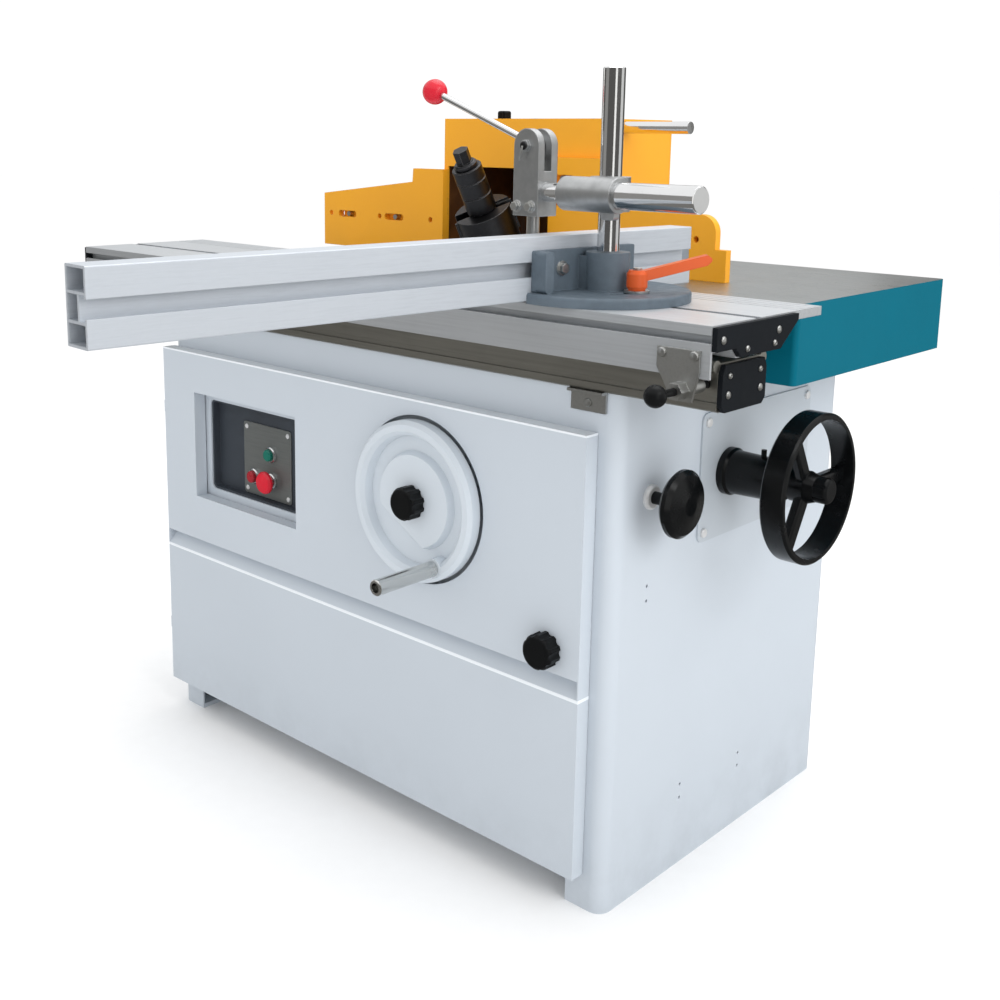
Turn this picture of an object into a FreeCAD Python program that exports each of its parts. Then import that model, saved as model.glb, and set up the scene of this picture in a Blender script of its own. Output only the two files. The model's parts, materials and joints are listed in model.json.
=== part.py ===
import FreeCAD, Part
import math
import os

# Tilting spindle moulder with a sliding table, built in millimetres.
# Origin: middle of the cabinet on the floor. +X is the operator's right, +Y the back, +Z up.

V = FreeCAD.Vector
X_AXIS = (1, 0, 0)
Y_AXIS = (0, 1, 0)
Z_AXIS = (0, 0, 1)
FRONT = (0, -1, 0)

# Fits
slip = 0.05             # radial clearance of a running fit
clear = 0.3             # gap between curved faces that do not run on each other
free = 1.0              # gap between flat faces that pass each other
over = 1.0              # how far a cutting shape runs past the face that it cuts

# Cabinet
cabinet_width = 1020.0
cabinet_depth = 630.0
cabinet_height = 767.0
cabinet_corner = 22.0
sheet = 3.0
top_plate = 5.0
toe_height = 55.0
foot_width = 65.0
foot_pad = 8.0          # thickness of the bolt-down pads in the feet
foot_bolt = 7.0         # radius of the floor bolt holes
foot_bolt_inset = 35.0
sill = 20.0             # strip of front wall left above the cabinet floor
access_drop = 357.0     # top of the front access below the cabinet's top
access_margin = 44.0    # wall left between the access and the door's right edge
well_half = 175.0       # opening under the table for the spindle unit
well_back_margin = 40.0
side_hole = 2.5         # pairs of small holes in the right wall
side_hole_pitch = 22.0
side_hole_places = ((-234.0, 298.0), (-121.0, 644.5), (49.0, 655.5))    # y and drop from the top
vent_rows = 7
vent_offset = 190.0     # middle of each vent column from the cabinet's middle
vent_width = 120.0
vent_height = 8.0
vent_pitch = 26.0
vent_rise = 125.0       # lowest vent above the cabinet's floor

# Front door, a folded pan that stands proud of the cabinet
door_proud = 26.0
door_sheet = 2.0
door_seat = 0.5
door_left_margin = 4.0
door_right_margin = 34.0
door_top_margin = 58.0
groove_drop = 351.0     # top of the finger groove below the door's top
groove_height = 28.0
groove_depth = 18.0
groove_lip = 6.0        # flat at the back of the groove
window_left = 94.0      # from the door's left edge
window_drop = 73.0      # from the door's top
window_width = 284.0
window_height = 195.0
reveal_gap = 2.0        # between the window's reveal and the door's back
latch_from_right = 58.0
latch_drop = 318.0
latch_stem = 6.0
tongue_half = 8.0
tongue_reach = 45.0
tongue_thick = 4.0
hinge_radius = 5.0
hinge_pin = 3.0
hinge_height = 66.0
hinge_inset = 80.0      # from the door's top and bottom
hinge_leaf = 54.0
hinge_sheet = 3.0
hinge_arm = 4.0

# Fluted knobs of the door latch and the height lock
knob_radius = 26.0
knob_depth = 26.0
knob_crown = 8.0
knob_flutes = 10
knob_flute = 6.6        # radius of a flute
knob_bite = 3.0         # depth of a flute

# Controls behind the door's window
tray_depth = 14.0
tray_sheet = 2.0
tray_rim = 16.0         # width of the tray's flange
tray_corner = 8.0
panel_size = 132.0
panel_thick = 2.0
panel_corner = 6.0
panel_shift = 12.0      # panel's middle to the left of the buttons' column
control_from_left = 170.0   # buttons' column from the window's left edge
control_drop = 109.0    # panel's middle below the window's top
button_spacing = 48.0
button_drop = 8.0       # buttons' middle below the panel's middle
button_cap = 10.5
button_stem = 7.0
button_tail = 16.0
button_travel = 4.0
button_rise = 7.5
button_round = 1.5
button_gap = 0.5
bezel_radius = 14.5
bezel_height = 6.0
bezel_cut = 2.0
stop_radius = 20.0
stop_travel = 5.0
stop_rise = 14.0
stop_edge = 3.0
stop_shoulder = 7.0
panel_screw = 2.0
panel_screw_head = 4.5
panel_screw_height = 2.4
panel_screw_inset = 9.0
screw_edge = 1.0        # bevel round a screw's head

# Height handwheel on the front
wheel_from_middle = 164.0
wheel_drop = 154.0      # wheel's middle below the door's top
wheel_radius = 125.0
wheel_gap = 6.0
wheel_hole_margin = 6.0 # sheet round the hole that is made with it
wheel_sink = 6.0        # wheel's back behind the door's face
wheel_rim = 22.0
wheel_depth = 28.0
wheel_round = 6.0
wheel_web = 9.0
wheel_slope = 4.0
plateau_radius = 77.0
plateau_sink = 8.0      # plateau's face behind the rim's
plateau_slope = 5.0
plateau_chord = 50.0
plateau_turn = 29.0     # degrees of the plateau's flat side
crank_radius = 12.0
crank_length = 118.0
crank_circle = 105.0
crank_turn = -60.0      # degrees from +X towards +Z
crank_boss_wall = 3.0
crank_boss_rise = 1.0
crank_stud = 6.0
crank_stud_length = 39.0
crank_end_bore = 7.5
crank_end_depth = 24.0
crank_bevel = 1.5
shaft_radius = 12.5
shaft_hole_gap = 2.0    # round the shafts in the sheet walls
lock_stem = 5.0
lock_stem_length = 16.0

# Lift gearbox behind the front wall
nose_flange = 34.0
nose_flange_thick = 6.0
nose_radius = 24.0
nose_length = 24.0
lift_box_half = 38.0
lift_box_length = 70.0
lift_box_corner = 10.0
shaft_in_box = 12.0     # how far a handwheel's shaft runs into its gearbox

# Right side: access plate, tilt handwheel and clamp knob
plate_front = -112.0
plate_back = 210.0
plate_drop = 58.0       # plate's top below the cabinet's top
plate_height = 195.0
plate_sheet = 3.0
plate_corner = 12.0
plate_bolt = 3.0
plate_bolt_head = 7.0
plate_bolt_height = 4.5
plate_bolt_inset = 14.0
plate_bolt_tail = 2.0   # past the wall's inside
side_opening_inset = 22.0
tilt_y = -35.0
tilt_drop = 155.0       # wheel's middle below the cabinet's top
tilt_radius = 110.0
tilt_rim_depth = 36.0
tilt_rim_wall = 9.0
tilt_rim_edge = 3.0
tilt_reach = 152.0      # front of the rim from the cabinet wall
tilt_shaft = 11.0
tilt_hub = 24.0
tilt_hub_nose = 19.0
tilt_hub_back = 6.0
tilt_hub_shoulder = 18.0
tilt_hub_sink = 4.0
spoke_count = 3
spoke_turn = 30.0
spoke_half = 11.0
spoke_back = 4.0
spoke_front = 16.0
spoke_round = 5.0
sleeve_radius = 36.0
sleeve_length = 95.0
sleeve_flange = 10.0
sleeve_step = 3.0
sleeve_taper = 5.0
sleeve_nose = 4.0
sleeve_pin = 4.0
sleeve_pin_from = 57.0
sleeve_pin_rise = 6.0
lobe_radius = 19.0
lobe_depth = 20.0
lobe_crown = 6.0
lobe_count = 6
lobe_flute = 4.2
lobe_bite = 1.9
lobe_stem_length = 18.0
clamp_knob_y = -235.0
clamp_knob_drop = 156.0
clamp_knob_radius = 48.0
clamp_knob_reach = 66.0
clamp_knob_thick = 24.0
clamp_knob_edge = 6.0
clamp_knob_neck = 14.0
clamp_knob_throat = 24.0
clamp_knob_cone = 3.0
clamp_knob_dish = 2.0
clamp_stem = 9.0
clamp_tail = 40.0
clamp_ring_radius = 18.0
clamp_ring_height = 7.0
clamp_ring_edge = 3.0
tilt_box_half = 42.0
tilt_box_length = 60.0
tilt_box_corner = 12.0

# Cast table
table_left = -420.0
table_right = 644.0
table_front = -100.0
table_back = 385.0
table_height = 113.0
table_plate = 28.0
table_skirt = 18.0
table_corner = 8.0
table_rib = 14.0
table_ribs = (-200.0, 200.0, 400.0)     # from the spindle's middle
bay_corner = 10.0
ring_radius = 100.0
ring_bore = 75.0
ring_depth = 10.0
ring_ledge = 10.0

# Sliding table
slide_rise = 3.0        # above the cast table
slide_left = -700.0
slide_right = 680.0
slide_front = -378.0
slide_body_back = -181.0
slide_back = -107.0
slide_front_depth = 33.0
slide_front_width = 46.0
slide_step_width = 12.0
slide_depth = 45.0
slide_flange = 12.0
slide_slope = 43.0
slide_wall = 4.0
slide_post = 8.0        # solid each side of the T-slot
apron_drop = 65.0       # strip that hangs from the slide's front edge
apron_sheet = 4.0
slot_y = -270.0
slot_mouth = 14.0
slot_inner = 24.0
slot_lip = 8.0
slot_depth = 20.0
edge_slot_mouth = 10.0
edge_slot_inner = 20.0
edge_slot_lip = 5.0
edge_slot_depth = 14.0
cell_gap = 5.0          # solid behind the edge slot
grip_grooves = 4
grip_pitch = 16.0
grip_width = 3.0
grip_depth = 1.5
grip_start = 12.0
cap_depth = 7.0
cap_inset = 2.0
cap_screw = 5.0
cap_screw_height = 3.0
cap_screw_drop = 18.0
cap_screw_front = 16.0
cap_screw_back = 50.0

# Guide beam under the sliding table
beam_left = -690.0
beam_right = 660.0
beam_front = -325.0
beam_width = 105.0
beam_wall = 5.0
beam_roof = 10.0
beam_corner = 4.0
beam_slot_rise = 12.0
beam_slot_height = 8.0
beam_slot_depth = 3.0
bar_radius = 8.0        # guide bars along the beam's upper corners
bar_overhang = 3.0
bar_sink = 4.0
shoe_height = 9.0       # plastic shoes under the sliding table
shoe_width = 20.0
shoe_lap = 4.0          # how far a shoe passes the middle of its bar
shoe_length = 60.0
shoe_places = (-150.0, 150.0, 430.0)
beam_cap_cut = 8.0
beam_cap_notch = 12.0
beam_cap_top = 2.0
beam_screw_inset = 14.0
beam_screw_rise = 22.0
bracket_half = 29.0     # brackets between the cabinet and the beam
bracket_sheet = 4.0
bracket_leg = 30.0
bracket_from_wall = 50.0
bracket_screw = 6.0
bracket_screw_height = 4.0
bracket_screw_drop = 18.0

# Index plunger on the sliding table's front
plunger_x = 645.0
plunger_drop = 81.0     # below the sliding table's top
plunger_pin = 5.0
plunger_ball = 14.0
plunger_reach = 49.0    # pin's end in front of the sliding table
plunger_ball_sink = 4.0
plunger_gap = 2.0       # pin's tip to the beam
holder_sheet = 4.0
holder_left = 37.0      # plate's sides from the plunger
holder_right = 23.0
holder_drop = 31.0      # plate's top below the sliding table's top
holder_side = 25.0
holder_foot = 14.0      # plate's lower edge, half its width and its drop from the plunger
holder_screw = 6.0
holder_screw_height = 4.0
holder_screw_inset = 7.0
barrel_flats = 20.0
barrel_length = 17.0
barrel_sleeve = 9.0
barrel_sleeve_length = 40.0

# Crosscut fence and its base
pivot_x = 448.0
fence_turn = -3.8       # degrees off square, as photographed
fence_width = 42.0
fence_height = 84.0
fence_lift = 3.0
fence_front_reach = 743.0
fence_back_reach = 235.0
fence_offset = 37.0     # pivot to the fence's face
fence_wall = 3.0
fence_corner = 1.5
groove_lift = 41.0      # middle of the T-groove above the fence's bottom
groove_mouth = 20.0
groove_inner = 27.0
groove_back = 15.0
swivel_left = 45.0      # degrees that the fence turns each way
swivel_right = 30.0
swivel_spare = 1.0
base_radius = 125.0
base_shift_x = 18.0     # disc's middle to the left of the pivot
base_shift_y = 5.0
base_thick = 14.0
base_round = 4.0
web_thick = 8.0
web_height = 55.0
web_corner = 3.0
web_front_reach = 110.0
web_back_reach = 92.0
ear_length = 26.0
ear_thick = 16.0
ear_corner = 6.0
boss_radius = 30.0
boss_height = 51.0
bridge_half = 26.0
bridge_drop = 6.0
pivot_pin_drop = 2.0    # pivot pin below the slot's lips
fence_screw = 4.0
fence_screw_front = 60.0    # screws from the pivot
fence_screw_back = 62.0
fence_nut = 10.0
fence_nut_depth = 12.0
fence_nut_half = 11.0
fence_washer = 10.0
fence_washer_thick = 2.0
fence_head_flats = 13.0
fence_head = 6.0

# Orange clamping lever and its stud
lever_offset = 49.0     # pivot to the stud
lever_length = 100.0
lever_turn = -43.5      # degrees from straight back
lever_half = 8.0
lever_hub = 14.0
lever_hub_height = 27.0
lever_hub_edge = 5.0
lever_hub_bevel = 3.0
lever_root = 12.0       # arm's underside at the hub
lever_lift = 22.0       # rise of the arm's underside
lever_thick = 14.0
lever_tip = 8.0
lever_round = 4.0
stud_radius = 6.0
stud_height = 33.0
stud_washer = 17.0
stud_washer_thick = 3.0
stud_nut_half = 12.0

# Pillar and hold-down clamp
pillar_radius = 15.0
pillar_height = 307.0   # above the sliding table
pillar_seat = 6.0
bar_bevel = 1.5
clamp_rise = 142.0      # chrome bar above the sliding table
clamp_bar = 17.5
clamp_spigot = 13.0
clamp_offset = 36.0     # pillar to bar, towards the operator
clamp_bar_right = 174.0     # bar's end to the right of the pillar
socket_depth = 14.0
block_half = 46.0
block_radius = 23.0
block_upright = 27.0
block_height = 46.0
block_web_half = 24.0
block_web_drop = 3.0
block_ear_left = 20.0
block_ear_width = 22.0
block_ear_half = 6.0
block_ear_drop = 32.0
block_ear_corner = 5.0
block_bolt = 9.0
block_bolt_height = 6.0
block_bolt_shank = 4.0
head_reach = 104.0      # pillar to the middle of the clamp head
head_width = 46.0
head_thick = 38.0
head_below = 33.0       # head's bottom and top from the bar's middle
head_above = 85.0
head_gap = 14.0
head_gap_drop = 34.0
head_pin_flats = 14.0
head_pin_nut = 5.0
head_bolts = (-15.0, 11.0)
head_bolt_rise = 13.0
head_bolt_flats = 11.0
head_bolt_height = 6.0
head_washer = 8.0
head_washer_thick = 2.0
arm_radius = 5.0
arm_length = 220.0
arm_rise = 20.0         # degrees above level
ball_radius = 18.5
ball_seat = 9.0         # how far the arm runs into the ball
cam_radius = 17.0
cam_throw = 6.0         # the cam's middle from its pivot
cam_pin = 5.0
press_shift = 2.0       # plunger's axis to the left of the cam's pin
press_radius = 9.0
pad_radius = 13.0
pad_edge = 5.0
pad_height = 11.0
pad_drop = 91.0         # pad's foot below the bar's middle, clamp open

# Spindle unit, drawn upright under the pivot and then tilted; depths are below the table's top
spindle_x = 0.0
spindle_y = 30.0
spindle_tilt = 30.0
spindle_radius = 17.5
spindle_rise = 226.0    # above the table
spindle_drop = 345.0
spindle_flange = 8.0
spindle_flange_thick = 14.0
edge_bevel = 1.5
collar_radius = 26.0
lower_collar = 23.0
upper_collars = (32.0, 28.0, 24.0)
bolt_washer = 20.0
bolt_washer_height = 9.0
bolt_washer_edge = 3.0
bolt_flats = 24.0
cutter_radius = 50.0
cutter_bottom = 45.0
cutter_height = 65.0
cutter_turn = 50.0
knife_count = 2
knife_proud = 3.0
knife_root = 22.5       # knife's inner edge from the axis
knife_thick = 4.0
knife_inset = 4.0
knife_seat = 9.0
pocket_width = 24.0
quill_radius = 45.0
quill_wall = 6.0
quill_top = 40.0
quill_bottom = 285.0
quill_lip = 6.0
quill_lip_height = 8.0
bearing_height = 18.0
bearing_race = 6.0
bearing_groove = 2.0
pulley_radius = 40.0
motor_pulley_radius = 48.0
pulley_height = 40.0
pulley_top = 298.0
pulley_rim = 4.0
pulley_grooves = 4
belt_thick = 5.0
motor_offset = 200.0
motor_gap = 17.0        # motor's plate below the pulley
motor_radius = 82.0
motor_length = 205.0
motor_edge = 8.0
motor_shaft = 14.0
motor_shaft_depth = 26.0
motor_fins = 24
fin_height = 8.0
fin_half = 2.0
fin_low = 50.0
fin_top = 26.0
terminal_reach = 23.0
terminal_half = 45.0
terminal_low = 90.0
terminal_height = 70.0
terminal_corner = 6.0

# Tilting frame, its guide rods, the carriage and the fixed trunnions
rod_radius = 12.0
rod_half = 70.0
rod_offset = 65.0
screw_radius = 8.0
screw_head = 14.0
screw_head_height = 6.0
frame_half = 118.0
frame_plate = 10.0
frame_top = 88.0
frame_bottom = 288.0
frame_front = 20.0      # side plates in front of the rods
frame_back = 62.0       # side plates behind the spindle's axis
frame_shoulder = 20.0
frame_side = 80.0
cross_bar = 20.0
cross_bar_half = 14.0
carriage_top = 130.0
carriage_height = 60.0
carriage_wall = 24.0
carriage_front = 23.0
carriage_corner = 8.0
quill_clamp = 14.0      # clamp's wall round the quill
motor_plate = 12.0
motor_plate_margin = 18.0
motor_plate_corner = 12.0
motor_plate_bore = 22.0
motor_web = 12.0
motor_web_depth = 14.0
trunnion_radius = 150.0
trunnion_inner = 30.0   # bracket's arc inside and outside the pin circle
trunnion_outer = 32.0
trunnion_first = -42.0  # degrees of the bracket's arc about the pivot
trunnion_last = 66.0
trunnion_pin = 8.0
trunnion_plate = 11.5
frame_gap = 0.5         # between the frame and a bracket
pin_spread = 20.0       # degrees of each frame pin from the spindle's axis
front_leg = (-111.0, -80.0, 150.0)      # bracket's legs: from and to the spindle in Y, and depth
back_leg = (110.0, 166.0, 84.0)
leg_foot = 22.0
leg_foot_thick = 10.0
tilt_arm_top = (-95.0, 110.0)           # where the gearbox's arm leaves the bracket: Y and depth
tilt_arm_low = (-30.0, 170.0)
tilt_arm_inset = 2.0

# Hood
hood_left = -175.0
hood_right = 186.0
hood_front = 64.0
hood_depth = 220.0
hood_height = 250.0
hood_wall = 6.0
hood_corner = 25.0
mouth_left = -165.0
mouth_right = 85.0
mouth_height = 164.0
spout_radius = 60.0
spout_wall = 4.0
spout_length = 55.0
spout_rise = 110.0
wing_left_end = 45.0    # wings stop this far from the fence plates' ends
wing_right_end = 43.0
wing_thick = 12.0
wing_height = 95.0
wing_foot = 60.0
wing_rib = 10.0
wing_rib_depth = 58.0
wing_rib_height = 85.0
hood_knob_shift = 65.0  # knob to the left of the spindle
hood_knob_back = 40.0   # knob behind the hood's front
hood_knob_radius = 12.0
hood_knob_depth = 14.0
hood_knob_crown = 4.0
hood_knob_flutes = 6
hood_knob_flute = 2.6
hood_knob_bite = 1.2
hood_knob_stem = 5.0
hood_knob_stem_length = 30.0
guard_rod_radius = 10.0
guard_rod_reach = 130.0
guard_rod_inside = 90.0
guard_rod_back = 60.0   # rod behind the hood's front
guard_rod_drop = 14.0   # rod below the hood's top
guard_rod_travel = 60.0
guard_boss_wall = 6.0
guard_boss_length = 20.0

# Fence plates in front of the hood
fence_plate = 14.0
left_fence_end = -497.0
left_low = 103.0        # plate's height at its outer end, beside the step and at the step
left_high = 133.0
left_step = 158.0
left_step_width = 78.0
left_step_lean = 2.0
left_hole_places = (21.0, 162.0, 300.0)     # from the outer end
left_slot_places = (69.0, 202.0)
fence_hole = 5.0
fence_hole_rise = 64.0
fence_slot_half = 20.0
fence_slot_height = 6.0
fence_bolt = 5.0
fence_bolt_sink = 3.0
fence_bolt_length = 26.0
right_fence_end = 438.0
right_step = 185.0
right_step_width = 115.0
right_slot_from_mouth = 27.0
right_slot_rises = (110.0, 150.0)
arch_top = 103.0
arch_round = 28.0
arch_post = 15.0        # between the step and the face plate
arch_leg = 47.0
arch_foot = 20.0
arch_foot_height = 50.0
arch_hole_inset = 35.0  # leg's hole from the outer end
face_height = 71.0      # pale face plate under the arch
face_recess = 4.0
face_thick = 8.0

# Places worked out from the sizes
right_wall = cabinet_width / 2
left_wall = -cabinet_width / 2
front_wall = -cabinet_depth / 2
back_wall = cabinet_depth / 2
inner_front = front_wall + sheet
table_top = cabinet_height + table_height
slide_top = table_top + slide_rise
slide_bottom = slide_top - slide_depth
door_left = left_wall + door_left_margin
door_right = right_wall - door_right_margin
door_front = front_wall - door_proud
door_back = front_wall - door_seat
door_bottom = toe_height
door_top = cabinet_height - door_top_margin
groove_top = door_top - groove_drop
groove_bottom = groove_top - groove_height
window_x = door_left + window_left
window_top = door_top - window_drop
window_z = window_top - window_height
latch_x = door_right - latch_from_right
latch_z = door_top - latch_drop
access_left = left_wall + foot_width
access_right = door_right - access_margin
access_top = cabinet_height - access_drop
wheel_x = wheel_from_middle
wheel_z = door_top - wheel_drop
plate_top = cabinet_height - plate_drop
plate_bottom = plate_top - plate_height
tilt_z = cabinet_height - tilt_drop
clamp_knob_z = cabinet_height - clamp_knob_drop


def box(x0, x1, y0, y1, z0, z1):
    return Part.makeBox(x1 - x0, y1 - y0, z1 - z0, V(x0, y0, z0))


def rod(start, axis, radius, length):
    return Part.makeCylinder(radius, length, V(*start), V(*axis))


def tube(start, axis, outer, inner, length):
    return rod(start, axis, outer, length).cut(rod(start, axis, inner, length))


def bore(start, axis, radius, length):
    """A round cut from the start point, run past both ends."""
    back = V(*start) - V(*axis) * over
    return rod(tuple(back), axis, radius, length + 2 * over)


def join(*shapes):
    result = shapes[0].multiFuse(list(shapes[1:])) if len(shapes) > 1 else shapes[0]
    return result.removeSplitter()


def group(*shapes):
    return Part.makeCompound(list(shapes))


def prism(points, axis, start, length):
    """A closed outline pushed along one axis; the points are in the other two axes, in order."""
    place = {
        "x": lambda a, b: V(start, a, b),
        "y": lambda a, b: V(a, start, b),
        "z": lambda a, b: V(a, b, start),
    }[axis]
    push = {"x": V(length, 0, 0), "y": V(0, length, 0), "z": V(0, 0, length)}[axis]
    corners = [place(a, b) for a, b in points]
    return Part.Face(Part.makePolygon(corners + corners[:1])).extrude(push)


def along(shape, axis):
    """The edges of a shape that run along one axis."""
    direction = V(*axis)
    found = []
    for edge in shape.Edges:
        if isinstance(edge.Curve, Part.Line) and abs(edge.Curve.Direction.dot(direction)) > 0.999:
            found.append(edge)
    return found


def round_box(x0, x1, y0, y1, z0, z1, axis, radius):
    block = box(x0, x1, y0, y1, z0, z1)
    return block.makeFillet(radius, along(block, axis))


def stand_on(shape, start, axis):
    """Moves a shape drawn up the Z axis to a start point and an axis."""
    shape.Placement = FreeCAD.Placement(V(*start), FreeCAD.Rotation(V(0, 0, 1), V(*axis)))
    return shape


def turned(profile, start, axis):
    """A lathe shape: points (radius, distance along the axis) from a start point."""
    corners = [V(r, 0, h) for r, h in profile]
    face = Part.Face(Part.makePolygon(corners + corners[:1]))
    return stand_on(face.revolve(V(0, 0, 0), V(0, 0, 1), 360), start, axis)


def arc_band(inner, outer, first, last, depth):
    """A flat curved band about the Z axis, between two angles in degrees from +X."""
    reach = outer * 2
    fan = [(0, 0)]
    for step in range(5):
        angle = math.radians(first + (last - first) * step / 4)
        fan.append((reach * math.cos(angle), reach * math.sin(angle)))
    return tube((0, 0, 0), Z_AXIS, outer, inner, depth).common(prism(fan, "z", 0, depth))


def arc_slot(radius, half, first, last, depth):
    """The band that a pin sweeps on a circle, with a round end at each limit."""
    parts = [arc_band(radius - half, radius + half, first, last, depth)]
    for degrees in (first, last):
        angle = math.radians(degrees)
        end = (radius * math.cos(angle), radius * math.sin(angle), 0)
        parts.append(rod(end, Z_AXIS, half, depth))
    return join(*parts)


def fluted_knob(start, axis, size, flutes, stem):
    """A moulded knob with a domed front; its stem points back from the start."""
    radius, depth, crown = size
    count, flute, bite = flutes
    stem_radius, stem_length = stem
    body = rod((0, 0, 0), Z_AXIS, radius, depth)
    body = body.makeFillet(crown, [e for e in body.Edges if abs(e.BoundBox.ZMin - depth) < 0.01])
    circle = radius + flute - bite
    for number in range(count):
        angle = 2 * math.pi * number / count
        place = (circle * math.cos(angle), circle * math.sin(angle), 0)
        body = body.cut(bore(place, Z_AXIS, flute, depth))
    body = join(body, rod((0, 0, -stem_length), Z_AXIS, stem_radius, stem_length + over))
    return stand_on(body, start, axis)


def dome_bolt(start, axis, head, height, edge, shank, length):
    """A round-headed bolt: the head stands on the start point and the shank goes back from it."""
    profile = [(0, -length), (shank, -length), (shank, 0), (head, 0), (head, height - 2 * edge),
               (head - edge, height - edge), (0, height)]
    return turned(profile, start, axis)


def hex_bar(start, axis, flats, length):
    across = flats / math.cos(math.pi / 6) / 2
    turns = [math.pi / 3 * n for n in range(6)]
    ring = [V(across * math.cos(turn), across * math.sin(turn), 0) for turn in turns]
    return stand_on(Part.Face(Part.makePolygon(ring + ring[:1])).extrude(V(0, 0, length)), start, axis)


nodes = {}


# Cabinet, welded from sheets: feet, floor, four corners, four walls and the top

def cabinet():
    floor_bottom = toe_height - sheet
    inside = (left_wall + sheet, right_wall - sheet, inner_front, back_wall - sheet)
    corner = cabinet_corner - sheet
    outer = round_box(left_wall, right_wall, front_wall, back_wall, 0, cabinet_height, Z_AXIS, cabinet_corner)
    inner = round_box(*inside, toe_height, cabinet_height - top_plate, Z_AXIS, corner)
    under = round_box(*inside, -over, floor_bottom, Z_AXIS, corner)
    pads = outer.common(box(left_wall, right_wall, front_wall, back_wall, 0, foot_pad))
    pads = pads.cut(box(left_wall, right_wall, front_wall + foot_width, back_wall - foot_width,
                        -over, foot_pad + over))
    body = join(outer.cut(inner).cut(under), pads)
    toe = box(left_wall + foot_width, right_wall - foot_width, front_wall - over, back_wall + over,
              -over, floor_bottom)
    well = box(spindle_x - well_half, spindle_x + well_half, table_front + table_skirt,
               back_wall - well_back_margin, cabinet_height - top_plate - over, cabinet_height + over)
    body = body.cut(toe).cut(well)
    for x in (left_wall + foot_bolt_inset, right_wall - foot_bolt_inset):
        for y in (front_wall + foot_bolt_inset, back_wall - foot_bolt_inset):
            body = body.cut(bore((x, y, 0), Z_AXIS, foot_bolt, foot_pad))
    return cut_right_wall(cut_back_wall(cut_front_wall(body)))


def cut_front_wall(body):
    access = box(access_left, access_right, front_wall - over, inner_front + over, toe_height + sill,
                 access_top)
    inset = tray_rim - tray_sheet
    window = round_box(window_x + inset, window_x + window_width - inset, front_wall - over,
                       inner_front + over,
                       window_z + inset, window_top - inset, Y_AXIS, tray_corner + tray_sheet)
    shaft = bore((wheel_x, front_wall, wheel_z), Y_AXIS, shaft_radius + shaft_hole_gap, sheet)
    return body.cut(access).cut(window).cut(shaft)


def cut_back_wall(body):
    for row in range(vent_rows):
        z = toe_height + vent_rise + vent_pitch * row
        for x in (-vent_offset, vent_offset):
            body = body.cut(box(x - vent_width / 2, x + vent_width / 2, back_wall - sheet - over,
                                back_wall + over, z, z + vent_height))
    return body


def cut_right_wall(body):
    inside = right_wall - sheet
    inset = side_opening_inset
    side = box(inside - over, right_wall + over, plate_front + inset, plate_back - inset,
               plate_bottom + inset, plate_top - inset)
    body = body.cut(side)
    body = body.cut(bore((inside, clamp_knob_y, clamp_knob_z), X_AXIS, clamp_stem + clear, sheet))
    for y, drop in side_hole_places:
        for half in (-side_hole_pitch / 2, side_hole_pitch / 2):
            body = body.cut(bore((inside, y, cabinet_height - drop + half), X_AXIS, side_hole, sheet))
    for y, z in plate_bolt_places():
        body = body.cut(bore((inside, y, z), X_AXIS, plate_bolt + clear, sheet))
    return body


def plate_bolt_places():
    ys = (plate_front + plate_bolt_inset, plate_back - plate_bolt_inset)
    zs = (plate_bottom + plate_bolt_inset, plate_top - plate_bolt_inset)
    return [(y, z) for y in ys for z in zs]


def around(outline, hole):
    """The four cells of a flat outline (low, high, low, high) that lie round a hole in it."""
    a0, a1, b0, b1 = outline
    c0, c1, d0, d1 = hole
    return [(a0, c0, b0, b1), (c1, a1, b0, b1), (c0, c1, b0, d0), (c0, c1, d1, b1)]


def front_cells(left, right, low, high):
    """The front wall's sheets: round the access, then round the window, and the window's round corners."""
    sill_top = toe_height + sill
    inset = tray_rim - tray_sheet
    cells = around((left, right, low, high), (access_left, access_right, sill_top, access_top))
    window = (window_x + inset, window_x + window_width - inset, window_z + inset, window_top - inset)
    return cells[:3] + around(cells[3], window) + [window]


def cabinet_sheets(body):
    """The separate sheets, which meet along their welds."""
    floor_bottom = toe_height - sheet
    ceiling = cabinet_height - top_plate
    x0, x1, x2, x3 = left_wall, left_wall + cabinet_corner, right_wall - cabinet_corner, right_wall
    y0, y1, y2, y3 = front_wall, front_wall + cabinet_corner, back_wall - cabinet_corner, back_wall
    foot_front = front_wall + foot_width
    foot_back = back_wall - foot_width
    well = (spindle_x - well_half, spindle_x + well_half, table_front + table_skirt,
            back_wall - well_back_margin)
    cells = [(x0, x3, y0, y3, floor_bottom, toe_height)]
    cells += [cell + (ceiling, cabinet_height) for cell in around((x0, x3, y0, y3), well)]
    for x, next_x in ((x0, x1), (x2, x3)):
        for y, next_y in ((y0, y1), (y1, y2), (y2, y3)):
            cells.append((x, next_x, y, next_y, toe_height, ceiling))
    cells.append((x1, x2, y2, y3, toe_height, ceiling))
    cells += [(a, b, y0, y1, low, high) for a, b, low, high in front_cells(x1, x2, toe_height, ceiling)]
    for x, next_x in ((x0, 0), (0, x3)):
        for y, next_y in ((y0, foot_front), (foot_front, foot_back), (foot_back, y3)):
            cells.append((x, next_x, y, next_y, 0, floor_bottom))
    sheets = []
    for cell in cells:
        sheets += body.common(box(*cell)).Solids
    return group(*sheets)


# Front door: a pan in bands, with the finger groove as the middle one

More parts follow.
